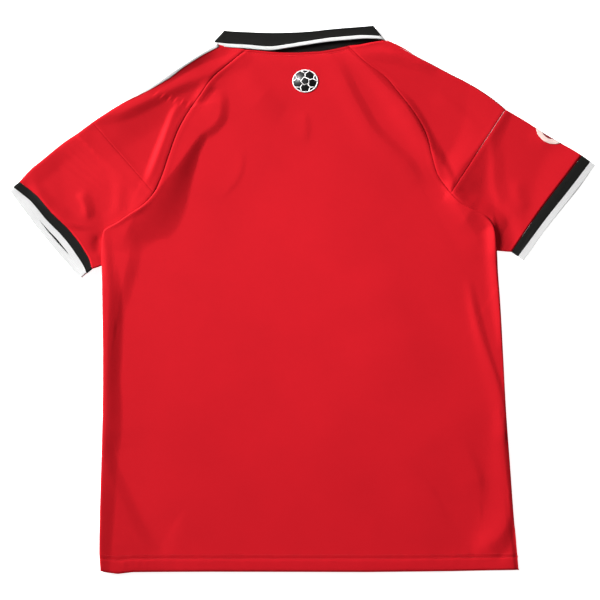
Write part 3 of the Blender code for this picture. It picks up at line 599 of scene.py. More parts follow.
def make_cloth(name, grid, wall, material, node, offset=-1.0):
    """A sheet through a grid of points, with its own UV map in metres and a wall of that thickness.

    Its outer side faces up on the upper half of the jersey and down on the lower half.
    """
    rows, columns = grid.shape[:2]
    across = np.linalg.norm(np.diff(grid, axis=1), axis=2)
    u = np.concatenate([np.zeros((rows, 1)), np.cumsum(across, axis=1)], axis=1)
    u -= u[:, columns // 2 : columns // 2 + 1]
    v = chord_knots(grid[:, columns // 2])[:, None] + 0.0 * u
    bm = bmesh.new()
    bmesh.ops.create_grid(bm, x_segments=columns - 1, y_segments=rows - 1, size=0.5)
    for vert, place in zip(bm.verts, grid.reshape(-1, 3) * MM):
        vert.co = place
    bm.normal_update()
    middle = sizes().top / 2
    if sum(face.normal.z * (face.verts[0].co.z - middle) for face in bm.faces) < 0:
        bmesh.ops.reverse_faces(bm, faces=bm.faces)
    obj = finish_piece(name, bm, material, node)
    corners = np.zeros(len(obj.data.loops), dtype=np.int32)
    obj.data.loops.foreach_get("vertex_index", corners)
    places = np.stack([u.ravel()[corners], v.ravel()[corners]], axis=1) * MM
    obj.data.uv_layers.new(name="cloth").data.foreach_set("uv", places.ravel())
    solid = add_wall(obj, wall, offset)
    solid.use_even_offset = offset != 0.0
    return obj


def add_wall(obj, thick, offset=-1.0):
    """Give a sheet its thickness, below its outer side or, at offset 0, on both sides."""
    wall = obj.modifiers.new("wall", "SOLIDIFY")
    wall.thickness = thick
    wall.offset = offset
    return wall


def finish_piece(name, bm, material, node):
    """Make bm an object on the frame, with its material, in the place of its CAD node."""
    mesh = bpy.data.meshes.new(name)
    bm.to_mesh(mesh)
    bm.free()
    mesh.shade_smooth()
    mesh.materials.append(material)
    obj = bpy.data.objects.new(name, mesh)
    bpy.context.scene.collection.objects.link(obj)
    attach(obj, "root")
    if node:
        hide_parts(node)
    return obj


def declare_sheet(obj, width, length):
    """Check that the area of a piece's mesh, in m2, is no more than width by length, and raise if it is."""
    area = sum(face.area for face in obj.data.polygons)
    if area > width * length:
        raise ValueError(f"{obj.name}: {area:.4f} m2 is more than {width:.3f} x {length:.3f}")


class Shader:
    """A node material under construction."""

    def __init__(self, name):
        self.material = bpy.data.materials.new(name)
        self.material.use_nodes = True
        self.tree = self.material.node_tree
        self.surface = self.tree.nodes["Principled BSDF"]
        self.x = -300

    def node(self, kind, inputs=(), **settings):
        made = self.tree.nodes.new(kind)
        made.location = (self.x, 300)
        self.x -= 190
        for key, value in settings.items():
            setattr(made, key, value)
        for key, value in dict(inputs).items():
            if isinstance(value, bpy.types.NodeSocket):
                self.tree.links.new(value, made.inputs[key])
            else:
                made.inputs[key].default_value = value
        return made

    def put(self, socket, value):
        if isinstance(value, bpy.types.NodeSocket):
            self.tree.links.new(value, self.surface.inputs[socket])
        else:
            self.surface.inputs[socket].default_value = value

    def maths(self, operation, a, b=0.0):
        return self.node("ShaderNodeMath", {0: a, 1: b}, operation=operation).outputs[0]

    def ramp(self, value, low, high, to_low=0.0, to_high=1.0):
        inputs = {"Value": value, "From Min": low, "From Max": high, "To Min": to_low, "To Max": to_high}
        return self.node("ShaderNodeMapRange", inputs).outputs["Result"]

    def noise(self, place, scale, detail=2.0):
        inputs = {"Vector": place, "Scale": scale, "Detail": detail, "Roughness": 0.55}
        return self.node("ShaderNodeTexNoise", inputs).outputs["Fac"]

    def tones(self, value, dark, light):
        """A colour between two, by value."""
        made = self.node("ShaderNodeMix", {0: value}, data_type="RGBA")
        made.inputs[6].default_value = dark
        made.inputs[7].default_value = light
        return made.outputs[2]

    def bump(self, height, strength, distance):
        inputs = {"Height": height, "Strength": strength, "Distance": distance}
        return self.node("ShaderNodeBump", inputs).outputs["Normal"]

    def waves(self, coordinate, pitch):
        """Rounded ridges along one coordinate, 0 to 1, a pitch apart."""
        turn = self.maths("MULTIPLY", coordinate, 2.0 * math.pi / pitch)
        return self.ramp(self.maths("SINE", turn), -1.0, 1.0)


def shade(colour, factor):
    return (*(min(1.0, channel * factor) for channel in colour[:3]), 1.0)


def uv_place(shader):
    """The cloth's own map and its two coordinates, in metres."""
    place = shader.node("ShaderNodeUVMap", uv_map="cloth").outputs["UV"]
    parts = shader.node("ShaderNodeSeparateXYZ", {"Vector": place})
    return place, parts.outputs["X"], parts.outputs["Y"]


def made_once(recipe):
    """Make a material at its first use, and find it by its name after that."""
    def find_or_make(name, *inputs):
        return bpy.data.materials.get(name) or recipe(name, *inputs)

    return find_or_make


@made_once
def knit_material(name, colour, loop_width, loop_height):
    """Fine interlock polyester: columns of tiny loops, a soft sheen and slightly uneven colour."""
    shader = Shader(name)
    place, across, along = uv_place(shader)
    wander = shader.maths("MULTIPLY", shader.noise(place, 900.0, 1.0), 0.00035)
    loops = shader.maths("MULTIPLY", shader.waves(shader.maths("ADD", across, wander), loop_width),
                         shader.waves(along, loop_height))
    cloud = shader.noise(place, 14.0, 3.0)
    fine = shader.noise(place, 420.0, 2.0)
    tone = shader.maths("ADD", shader.ramp(cloud, 0.3, 0.7, 0.0, 0.55), shader.ramp(fine, 0.3, 0.7, 0.0, 0.45))
    shader.put("Base Color", shader.tones(tone, shade(colour, 0.955), shade(colour, 1.045)))
    shader.put("Roughness", shader.ramp(fine, 0.3, 0.7, 0.6, 0.7))
    shader.put("Specular IOR Level", 0.06)
    shader.put("Sheen Weight", 0.02)
    shader.put("Sheen Roughness", 0.35)
    shader.put("Sheen Tint", (1.0, 0.25, 0.28, 1.0))
    shader.put("Normal", shader.bump(loops, 0.35, 0.00012))
    return shader.material


@made_once
def rib_material(name, colour, pitch):
    """Flat-knit rib: soft cords across the band, and fluff between them. Its colour is painted darker in the hollows
    between the cords and lighter on their tops, as painted shade.
    """
    shader = Shader(name)
    place, across, along = uv_place(shader)
    cords = shader.waves(along, pitch)
    loops = shader.waves(across, 0.0011)
    relief = shader.maths("ADD", cords, shader.maths("MULTIPLY", loops, 0.3))
    fluff = shader.noise(place, 700.0, 2.0)
    # painted shade: the colour darkens in the hollows between the cords and lightens on their tops; the fluff adds
    # random tone
    tone = shader.maths("MULTIPLY", shader.ramp(cords, 0.0, 1.0, 0.55, 1.0), shader.ramp(fluff, 0.3, 0.7, 0.75, 1.0))
    shader.put("Base Color", shader.tones(tone, shade(colour, 0.72), shade(colour, 1.18)))
    shader.put("Roughness", shader.ramp(fluff, 0.3, 0.7, 0.72, 0.88))
    shader.put("Specular IOR Level", 0.15)
    shader.put("Sheen Weight", 0.04)
    shader.put("Sheen Roughness", 0.5)
    shader.put("Normal", shader.bump(relief, 0.5, 0.0003))
    return shader.material


@made_once
def tape_material(name, colour):
    """Woven tape: a diagonal twill with a slight gloss."""
    shader = Shader(name)
    place, across, along = uv_place(shader)
    twill = shader.waves(shader.maths("ADD", across, along), 0.0012)
    worn = shader.noise(place, 300.0, 2.0)
    shader.put("Base Color", shader.tones(shader.ramp(worn, 0.3, 0.7), shade(colour, 0.95), shade(colour, 1.03)))
    shader.put("Roughness", shader.ramp(worn, 0.3, 0.7, 0.5, 0.62))
    shader.put("Specular IOR Level", 0.4)
    shader.put("Normal", shader.bump(twill, 0.4, 0.0002))
    return shader.material


@made_once
def print_material(name, colour):
    """Smooth transfer print: it reads Object coordinates, because its pieces have no map of their own."""
    shader = Shader(name)
    place = shader.node("ShaderNodeTexCoord").outputs["Object"]
    grain = shader.noise(place, 2600.0, 2.0)
    worn = shader.noise(place, 160.0, 2.0)
    shader.put("Base Color", shader.tones(shader.ramp(worn, 0.3, 0.7), shade(colour, 0.93), shade(colour, 1.04)))
    shader.put("Roughness", shader.ramp(grain, 0.3, 0.7, 0.36, 0.5))
    shader.put("Specular IOR Level", 0.45)
    shader.put("Normal", shader.bump(grain, 0.25, 0.0001))
    return shader.material


def red_knit():
    return knit_material("interlock_knit", colour_of("knit"), 0.00105, 0.00085)


def rib_knits():
    """The black rib and the coarser white one."""
    return (
        rib_material("dark_rib_knit", colour_of("rib"), 0.0013),
        rib_material("light_rib_knit", colour_of("edge"), 0.0016),
    )


# ---- the panels ----------------------------------------------------------------------------------------------


def row_of(rows, name):
    """Which row of a table has that name."""
    return [row[0] for row in rows].index(name)


def body_rows(is_back, step):
    """Left and right edge points of a body panel's rows, their places from the hem, and how far up the raglan."""
    edge = np.array([row[1:] for row in BODY_EDGE], float)
    if not is_back:
        edge[-1] = NECK_FRONT
    knots = (chord_knots(edge[:, :2]) + chord_knots(edge[:, 2:])) / 2
    hem = in_mm(sizes().hem)
    close = [0.0, 0.5, 1.2, 2.2, 3.4]
    close += [hem + at for at in (-6.0, -4.5, -3.2, -2.2, -1.2, -0.2, 0.8, 1.8, 2.8, 4.0, 5.5, 7.5)]
    even = np.arange(0.0, knots[-1] - 6.0, step)
    even = even[(even > 6.0) & ((even < hem - 8.0) | (even > hem + 9.5))]
    ends = knots[-1] - np.array([5.6, 4.6, 3.7, 2.9, 2.2, 1.5, 0.9, 0.4, 0.0])
    at = np.sort(np.concatenate([close, even, ends]))
    points = smooth_run(edge, knots, at)
    underarm = knots[row_of(BODY_EDGE, "underarm")]
    up = np.clip((at - underarm) / (knots[-1] - underarm), 0.0, 1.0)
    return points[:, :2], points[:, 2:], at, up


def body_panel(name, node, is_back):
    """Back or front panel: rows from the hem up to the neckline, columns from the left side to the right."""
    left, right, at, up = body_rows(is_back, 3.3 if is_back else 8.0)
    top, hem = in_mm(sizes().top), in_mm(sizes().hem)
    radius = top / 2
    width = (right - left)[:, :1]
    distance = from_edge(width, 164 if is_back else 60, radius)
    t = distance / width
    place, up = at[:, None], up[:, None]
    x = left[:, :1] + distance
    y = mix(left[:, 1:], right[:, 1:], t) + neck_curve(t, is_back) * smooth(up * 1.15 - 0.15)
    y = y + table(HEM_LINE, x) * (1.0 - smooth(place / HEM_CURVE))
    from_side = np.minimum(distance, width - distance)
    sewn = 1.0 - smooth((left[:, 1:] - 84.0) / 12.0)
    tucked = smooth((left[:, 1:] - 30.0) / 18.0)
    if is_back:
        z = top_level(x, y) + seam_dip(from_side) * (1.0 - sewn) + hem_level(x, place - hem, place)
        z = z - 0.5 * np.exp(-(((at[-1] - place - NECK_ROW) / 1.5) ** 2))
        seam = mix(radius + LAYER_ROOM, z - top + BACK_OVER_TUCK, tucked)
    else:
        z = front_level(x, y)
        seam = radius - LAYER_ROOM
        sewn = sewn * (1.0 - tucked)
    z = mix(z, seam, rolled(from_side, radius) * sewn)
    return make_cloth(name, np.stack([x, y, z], axis=2), sizes().cloth, red_knit(), node)


def hem_level(x, over_stitch, place):
    """Height that the turned hem adds: a double layer, a groove at its stitches and small gathers along them."""
    level = 0.22 * smooth(-over_stitch / 4.0) - 0.3 * np.exp(-((over_stitch / 1.6) ** 2))
    level = level + 0.14 * np.exp(-(((over_stitch - 5.0) / 2.4) ** 2)) - 1.1 * (1.0 - smooth(place / 3.0))
    return level + pucker(x, over_stitch)


def pucker(x, over_stitch):
    """Small gathers that the hem's stitches pull in the cloth."""
    near = np.exp(-((over_stitch / 9.0) ** 2))
    return near * (0.10 * np.sin(x / 2.9 + 1.5 * np.sin(x / 17.0)) + 0.10 * np.sin(x / 7.3 + 2.0 * np.sin(x / 41.0)))


def wrap(rows, columns):
    """Grid for a panel that runs from its seam on the back, over its top fold, to its seam on the front.

    rows has arrays with a row for each section: back, fold and front seam points, the way out from the fold, sewn,
    tucked, bow, which is the vector that a curve of the section follows, and shape, which gives that curve.
    """
    top = in_mm(sizes().top)
    fold, way = rows["fold"], rows["way"]
    tucked, sewn = rows["tucked"][:, None], rows["sewn"][:, None]
    radius, middle, centre = bend(fold, way)
    halves = []
    for is_back, seam, count in ((True, rows["back"], columns[0]), (False, rows["front"], columns[1])):
        reach = centre - seam
        run = np.linalg.norm(reach, axis=1)[:, None]
        half = mix(top, TUCK_LEVELS[0] - TUCK_LEVELS[1], tucked) / 2
        edge = edge_places(half)
        inner = edge[:, -1:] + (run - edge[:, -1:]) * np.linspace(0.0, 1.0, count + 1)[1:]
        place = np.concatenate([edge, inner], axis=1)
        t = place / run
        curve = rows["shape"][0 if is_back else 1](t)
        x = seam[:, :1] + reach[:, :1] * t + rows["bow"][:, :1] * curve
        y = seam[:, 1:] + reach[:, 1:] * t + rows["bow"][:, 1:] * curve
        z = top_level(x, y) if is_back else front_level(x, y)
        low = z - top + TUCK_LEVELS[0] if is_back else TUCK_LEVELS[1]
        z = mix(z, mix(low, z, smooth((place - 5.0) / (70.0 if is_back else 34.0))), tucked)
        if is_back:
            z = z + seam_dip(place) * (1.0 - tucked) * (1.0 - sewn)
        z = mix(z, top / 2 + (LAYER_ROOM if is_back else -LAYER_ROOM), rolled(place, half) * sewn)
        halves.append(np.stack([x, y, z], axis=2))
    arc = around(centre, way, radius, middle, swell(centre), ROUND_FOLD)
    return np.concatenate([halves[0], arc, halves[1][:, ::-1]], axis=1)


def bend(fold, way):
    """Radius, middle height and centre of the top fold, at each of its points."""
    top = in_mm(sizes().top)
    low = front_level(fold[:, 0], fold[:, 1])
    radius = (top - low) / 2
    return radius, (top + low) / 2, fold - way * radius[:, None]


def swell(centre):
    """How far the back stands over its plain height above a fold's centre."""
    return top_level(centre[:, 0], centre[:, 1]) - in_mm(sizes().top)


def swell_share(sine):
    """Share of that swell that the fold follows: none at its middle, all on top."""
    return np.clip(sine, 0.0, 1.0) ** 1.5


def around(centre, way, radius, middle, crown, angle):
    """Points round a fold at each angle, 90 degrees on top, as a row for each point of the fold."""
    sine, cosine = (np.atleast_2d(part) for part in corner(angle))
    radius, middle, crown = radius[:, None], middle[:, None], crown[:, None]
    x = centre[:, :1] + way[:, :1] * radius * cosine
    y = centre[:, 1:] + way[:, 1:] * radius * cosine
    return np.stack([x, y, middle + radius * sine + crown * swell_share(sine)], axis=2)


def no_bow(t):
    return np.zeros(np.shape(t))


def cuff_shape(column):
    """Shape of a cuff's curve over its length, from the underarm seam."""
    rows = np.array(CUFF_BOW, float)

    def shape(t):
        flat = np.clip(np.ravel(t), 0.0, 1.0)
        return smooth_run(rows[:, column:column + 1], rows[:, 0], flat)[:, 0].reshape(np.shape(t))

    return shape


def sleeve_frame(side):
    """Underarm end and fold end of the cuff's seam, and the way out of the sleeve."""
    row = np.array(SLEEVE[-1][1 + 4 * side:5 + 4 * side], float)
    seam, fold = row[:2], row[2:]
    along = unit(fold - seam)
    out = np.array([-along[1], along[0]])
    return seam, fold, out if out[0] * fold[0] >= 0 else -out


def cross_gap(fold, points):
    """Move the first rows of a panel off the cross seam."""
    down = unit(fold[1] - fold[0])
    return [run + down * (SEAM_ROOM * np.exp(-np.arange(len(run)) / 2.0))[:, None] for run in points]


def cross_seam(grid):
    """Dip the first rows of a grid into the cross seam."""
    start = grid[0]
    far = np.linalg.norm(grid[:, :, :2] - start[None, :, :2], axis=2)
    upper = grid[:, :, 2] > in_mm(sizes().top) * 0.72
    grid[:, :, 2] += np.where(upper, seam_dip(far) * CROSS_DEPTH, 0.0)
    return grid


def row_places(length, step):
    """Places of rows over a length, close together at its start."""
    start = [0.0, 0.4, 0.85, 1.4, 2.0, 2.8, 3.8, 5.0, 6.5, 8.5, 11.0]
    return np.concatenate([start, np.linspace(11.0, length, max(3, round((length - 11.0) / step)))[1:]])


def shoulder_rows(side):
    """Rows of a shoulder panel from the cross seam up to the neckline."""
    first = row_of(BODY_EDGE, "cross seam")
    raglan = np.array([row[1 + 2 * side:3 + 2 * side] for row in BODY_EDGE[first:]], float)
    fold = np.array([row[1 + 2 * side:3 + 2 * side] for row in SHOULDER_FOLD], float)
    front = raglan.copy()
    front[-1] = NECK_FRONT[2 * side:2 * side + 2]
    knots = (chord_knots(raglan) + chord_knots(fold)) / 2
    at = row_places(knots[-1], 3.6)
    both = smooth_run(np.hstack([raglan, fold, front]), knots, at)
    raglan, fold, front = both[:, :2], both[:, 2:4], both[:, 4:]
    gap = square_to(raglan, OUTWARD[side]) * SEAM_ROOM
    raglan, fold, front = cross_gap(fold, [raglan + gap, fold, front + gap])
    none = np.zeros(len(at))
    return {
        "back": raglan, "fold": fold, "front": front, "way": square_to(fold, OUTWARD[side]),
        "sewn": none, "tucked": none, "bow": np.zeros((len(at), 2)), "shape": (no_bow, no_bow), "at": at,
    }


def bulge_neck(grid, side):
    """Raise the neck end of the right shoulder's back half in a low curve."""
    if side == 1:
        count = grid.shape[1] * 2 // 3
        t = np.linspace(0.0, 1.0, count)
        fade = smooth((np.arange(len(grid)) - len(grid) + 18) / 17.0)
        grid[:, :count, 1] += table(NECK_BULGE, t)[None, :] * fade[:, None]
    return grid


def sleeve_rows(side):
    """Rows of a sleeve from the cross seam down to the cuff."""
    points = np.array([row[1 + 4 * side:5 + 4 * side] for row in SLEEVE], float)
    knots = (chord_knots(points[:, :2]) + chord_knots(points[:, 2:])) / 2
    at = row_places(knots[-1], 3.4)
    run = smooth_run(points, knots, at)
    seam, fold = run[:, :2], run[:, 2:]
    tucked = np.interp(at, knots, SLEEVE_TUCK)
    sewn = smooth((at - knots[row_of(SLEEVE, "seam")]) / 6.0)
    gap = square_to(seam, OUTWARD[side]) * SEAM_ROOM * (1.0 - tucked)[:, None]
    seam, fold, front = cross_gap(fold, [seam + gap, fold, seam + gap])
    _, _, out = sleeve_frame(side)
    share = (smooth(at / at[-1]) ** 2)[:, None]
    return {
        "back": seam, "fold": fold, "front": front, "way": square_to(fold, OUTWARD[side]),
        "sewn": sewn, "tucked": tucked, "bow": out * share,
        "shape": (cuff_shape(1 + 2 * side), cuff_shape(2 + 2 * side)), "at": at,
    }


def cuff_start(t, is_back):
    """Reach of the band's start, which is the same all along the cuff."""
    return np.full(np.shape(t), CUFF_START)


def cuff_reach(side, part, room=0.0):
    """Reach of the band's seam, part 1, or of the white edge, part 2, at each share along the cuff."""
    def reach(t, is_back):
        return table(CUFF_WIDTH, t, part + (2 * side if is_back or side else 4)) + room

    return reach


def cuff_piece(name, node, side, near, far, steps, material):
    """One band of a cuff, from near to far, which give the reach at each share along the cuff."""
    seam, fold, out = sleeve_frame(side)
    way = sleeve_rows(side)["way"][-1:]
    top = in_mm(sizes().top)
    radius, middle, centre = bend(fold[None, :], way)
    run = np.linalg.norm(centre[0] - seam)
    edge = edge_places(radius[0])[0]
    place = np.concatenate([edge, np.linspace(edge[-1], run, 46)[1:]])[None, :]
    t = place / run
    step = np.sort(np.append(np.linspace(0.0, 1.0, steps), [0.02, 0.06, 0.94, 0.98]))[:, None]

    def reach_at(t, is_back):
        return mix(near(t, is_back), far(t, is_back), step)

    halves = []
    for is_back in (True, False):
        reach = reach_at(t, is_back) + cuff_shape((1 if is_back else 2) + 2 * side)(t)
        x = seam[0] + (centre[0] - seam)[0] * t + out[0] * reach
        y = seam[1] + (centre[0] - seam)[1] * t + out[1] * reach
        z = top_level(x, y) if is_back else front_level(x, y)
        z = mix(z, top / 2 + (LAYER_ROOM if is_back else -LAYER_ROOM), rolled(place, radius[0]))
        halves.append(np.stack([x, y, z], axis=2))
    crown = halves[0][:, -1, 2] - top
    one = np.ones(len(step))
    arc = around(centre + 0.0 * step, way + 0.0 * step, radius * one, middle * one, crown, ROUND_FOLD)
    reach = mix(reach_at(1.0, True), reach_at(1.0, False), (1.0 - np.sin(ROUND_FOLD))[None, :] / 2)
    arc[:, :, 0] += out[0] * reach
    arc[:, :, 1] += out[1] * reach
    grid = np.concatenate([halves[0], arc, halves[1][:, ::-1]], axis=1)
    return make_cloth(name, grid, sizes().cloth, material, node)


def collar_stations():
    """Neck, roll and edge points of the collar's sections, and the turn of its wall, 0 on the back, 180 in front."""
    def points(rows, is_back):
        rows = np.array(rows, float)
        neck_x = rows[:, 0] * (1.0 if is_back else 0.97)
        neck_y = neck_height(rows[:, 0], is_back) + COLLAR_ROOM[is_back]
        return np.column_stack([neck_x, neck_y, rows[:, 1:]])

    back = points(COLLAR_BACK, True)
    left, right = points(COLLAR_FRONT_LEFT, False), points(COLLAR_FRONT_RIGHT, False)
    left[0, :2], right[0, :2] = back[0, :2], back[-1, :2]
    turning = (30.0, 60.0, 90.0, 120.0, 150.0)
    stations = [
        *left[::-1], *(mix(back[0], left[0], turn / 180.0) for turn in turning[::-1]), *back,
        *(mix(back[-1], right[0], turn / 180.0) for turn in turning), *right,
    ]
    turns = [180.0] * len(left) + [*turning[::-1]] + [0.0] * len(back) + [*turning] + [180.0] * len(right)
    return np.array(stations), np.array(turns)


def collar_grid():
    """Points of the middle surfaces of the collar's black part and of its white edge, a row for each section."""
    stations, turns = collar_stations()
    index = np.arange(len(stations), dtype=float)
    travel = np.linalg.norm(np.diff(stations[:, 2:4], axis=0), axis=1)
    fine = [0.0]
    for i, length in enumerate(travel):
        steps = int(max(4, round(length / 3.0)))
        fine += [i + (k + 1) / steps for k in range(steps)]
    fine = np.array(fine)
    stations = smooth_run(stations, index, fine)
    turns = np.clip(np.interp(fine, index, turns), 0.0, 180.0)
    top, rib, tip = in_mm(sizes().top), in_mm(sizes().rib), in_mm(sizes().tip)
    step = leaf = rib + 0.3          # from the stand's middle to the fall's, and the front leaf's height
    stand_radius = (top - leaf) / 2 - rib / 2
    middle = (top + leaf) / 2
    turn_radius = step / 2
    half = len(fine) / 2
    black, white = [], []
    for i, (nx, ny, rx, ry, ex, ey) in enumerate(stations):
        side = -1.0 if i < half else 1.0
        d = unit(np.array([rx - nx, ry - ny]))
        height = math.hypot(rx - nx, ry - ny)
        fall = float((np.array([rx - ex, ry - ey])) @ d)
        skew = np.array([ex - rx, ey - ry]) + d * fall
        out = np.array([-d[1], d[0]])
        out = out if out[0] * side > 0 else -out
        angle = math.radians(turns[i])
        back_share = 0.5 + 0.5 * math.cos(angle)

        def place(along, outward, slip, lift=0.0):
            reach = (stand_radius + max(outward, -stand_radius)) * math.sin(angle)
            level = middle + (stand_radius + outward) * math.cos(angle) + lift * back_share
            return (*(np.array([nx, ny]) + d * along + out * reach + skew * slip), level)

        crest = height - turn_radius - rib / 2
        stand = [place(-1.6 * back_share, -1.9 * back_share, 0.0), place(-0.6 * back_share, -1.7 * back_share, 0.0)]
        stand += [place(crest * t, -1.3 * (1.0 - t) * back_share, 0.0) for t in np.linspace(0.06, 1, 8)]
        for degrees in range(20, 180, 20):
            curl = math.radians(degrees)
            puff = 0.5 * math.sin(curl) * back_share
            stand.append(place(crest + turn_radius * math.sin(curl), turn_radius * (1 - math.cos(curl)) + puff, 0.0))
        reach = fall - turn_radius - rib / 2
        share = (reach - tip - TRIM_ROOM) / reach
        lift = 1.2 * back_share

        def fall_point(t):
            return place(crest - reach * t, step, t, lift * smooth(t) ** 2)

        black.append(stand + [fall_point(t) for t in np.linspace(0.0, share, 10)])
        white.append([fall_point(t) for t in np.linspace(share + TRIM_ROOM / reach, 1.0, 6)])
    return np.array(black), np.array(white)


def stitch_run(bm, line, length, gap, thick):
    """Add a row of short thread stitches along a run of 3-D points."""
    knots = chord_knots(line)
    starts = np.arange(length / 2, knots[-1] - length / 2, length + gap)
    for at in starts:
        a, b = (run_point(line, knots, at + sign * length * 0.35) for sign in (-1, 1))
        middle = (a + b) / 2
        turn = Vector(b - a).to_track_quat("X", "Z").to_matrix().to_4x4()
        shape = Matrix.Diagonal((length / 2, thick / 2, thick / 2, 1.0))
        matrix = Matrix.Translation(middle * MM) @ turn @ Matrix.Scale(MM, 4) @ shape
        bmesh.ops.create_uvsphere(bm, u_segments=6, v_segments=4, radius=1.0, matrix=matrix)


def run_point(line, knots, at):
    """The point of a run of points at each length along it."""
    return np.stack([np.interp(at, knots, column) for column in line.T], axis=-1)


# ---- operators -----------------------------------------------------------------------------------------------


class JERSEY_OT_body(bpy.types.Operator):
    """Make the back and the front panel"""
    bl_idname = "jersey.body"
    bl_label = "Body Panels"

    def execute(self, context):
        back = body_panel("back_panel", "back_body", True)
        front = body_panel("front_panel", "front_body", False)
        declare_sheet(back, 0.59, 0.72)
        declare_sheet(front, 0.59, 0.72)
        return {"FINISHED"}


class JERSEY_OT_shoulders(bpy.types.Operator):
    """Make the two shoulder panels"""
    bl_idname = "jersey.shoulders"
    bl_label = "Shoulder Panels"

    def execute(self, context):
        for side, label in enumerate(SIDE_NAMES):
            rows = shoulder_rows(side)
            grid = bulge_neck(cross_seam(wrap(rows, (44, 22))), side)
            obj = make_cloth(
                f"shoulder_panel_{label}", grid, sizes().cloth, red_knit(), f"shoulder_{label}",
            )
            declare_sheet(obj, 0.28, 0.26)
        return {"FINISHED"}


class JERSEY_OT_sleeves(bpy.types.Operator):
    """Make the two sleeves"""
    bl_idname = "jersey.sleeves"
    bl_label = "Sleeves"

    def execute(self, context):
        for side, label in enumerate(SIDE_NAMES):
            grid = cross_seam(wrap(sleeve_rows(side), (46, 22)))
            obj = make_cloth(f"sleeve_cloth_{label}", grid, sizes().cloth, red_knit(), f"sleeve_{label}")
            declare_sheet(obj, 0.34, 0.20)
        return {"FINISHED"}


class JERSEY_OT_cuffs(bpy.types.Operator):
    """Make the black bands and the white edges of the cuffs"""
    bl_idname = "jersey.cuffs"
    bl_label = "Cuffs"

    def execute(self, context):
        black, white = rib_knits()
        for side, label in enumerate(SIDE_NAMES):
            seam, after, end = cuff_reach(side, 1), cuff_reach(side, 1, TRIM_ROOM), cuff_reach(side, 2)
            band = cuff_piece(f"cuff_rib_{label}", f"cuff_band_{label}", side, cuff_start, seam, 8, black)
            edge = cuff_piece(f"cuff_trim_{label}", f"cuff_edge_{label}", side, after, end, 7, white)
            declare_sheet(band, 0.35, 0.02)
            declare_sheet(edge, 0.35, 0.015)
        return {"FINISHED"}


class JERSEY_OT_collar(bpy.types.Operator):
    """Make the folded collar and its white edge"""
    bl_idname = "jersey.collar"
    bl_label = "Collar"

    def execute(self, context):
        black_grid, white_grid = collar_grid()
        black, white = rib_knits()
        collar = make_cloth("collar_rib", black_grid, sizes().rib, black, "collar", 0.0)
        tip = make_cloth("collar_edge", white_grid, sizes().rib, white, "collar_tip", 0.0)
        declare_sheet(collar, 0.62, 0.09)
        declare_sheet(tip, 0.66, 0.012)
        return {"FINISHED"}


class JERSEY_OT_tapes(bpy.types.Operator):
    """Make the white tapes over the shoulders"""
    bl_idname = "jersey.tapes"
    bl_label = "Shoulder Tapes"

    def execute(self, context):
        material = tape_material("twill_tape", colour_of("tape"))
        for side, label in enumerate(SIDE_NAMES):
            node = f"shoulder_stripe_{label}"
            obj = make_cloth(f"shoulder_tape_{label}", tape_grid(side), sizes().trim, material, node)
            declare_sheet(obj, 0.26, 0.035)
        return {"FINISHED"}


def tape_grid(side):
    """Points of the outer side of a shoulder tape."""
    rows = shoulder_rows(side)
    lift = in_mm(sizes().trim) + 0.12
    share = rows["at"] / rows["at"][-1]
    way = rows["way"]
    radius, middle, centre = bend(rows["fold"], way)
    outer = radius + lift
    shown = table(TAPE_SHOWN, share, 1 + side)
    start = np.degrees(np.arccos(np.clip(1.0 - shown / radius, 0.0, 1.0) ** 1.5))
    angle = np.radians(mix(start[:, None], -90.0, np.linspace(0.0, 1.0, 17)[None, :]))
    arc = around(centre, way, outer, middle, swell(centre), angle)
    on_back = np.maximum(shown - radius, 0.05)[:, None] * np.linspace(1.0, 0.0, 5)[None, :-1]
    x, y = arc[:, :1, 0] - way[:, :1] * on_back, arc[:, :1, 1] - way[:, 1:] * on_back
    wide = smooth((shown - radius + 0.6) / 0.6)[:, None]
    z = mix(arc[:, :1, 2], top_level(x, y) + lift, wide)
    back = np.stack([x, y, z], axis=2)
    forward = (13.0 - 9.5 * smooth((share - 0.7) / 0.3))[:, None] * np.linspace(0.0, 1.0, 6)[None, 1:]
    x, y = centre[:, :1] - way[:, :1] * forward, centre[:, 1:] - way[:, 1:] * forward
    front = np.stack([x, y, (middle - outer)[:, None] + 0.0 * forward], axis=2)
    return np.concatenate([back, arc, front], axis=1)


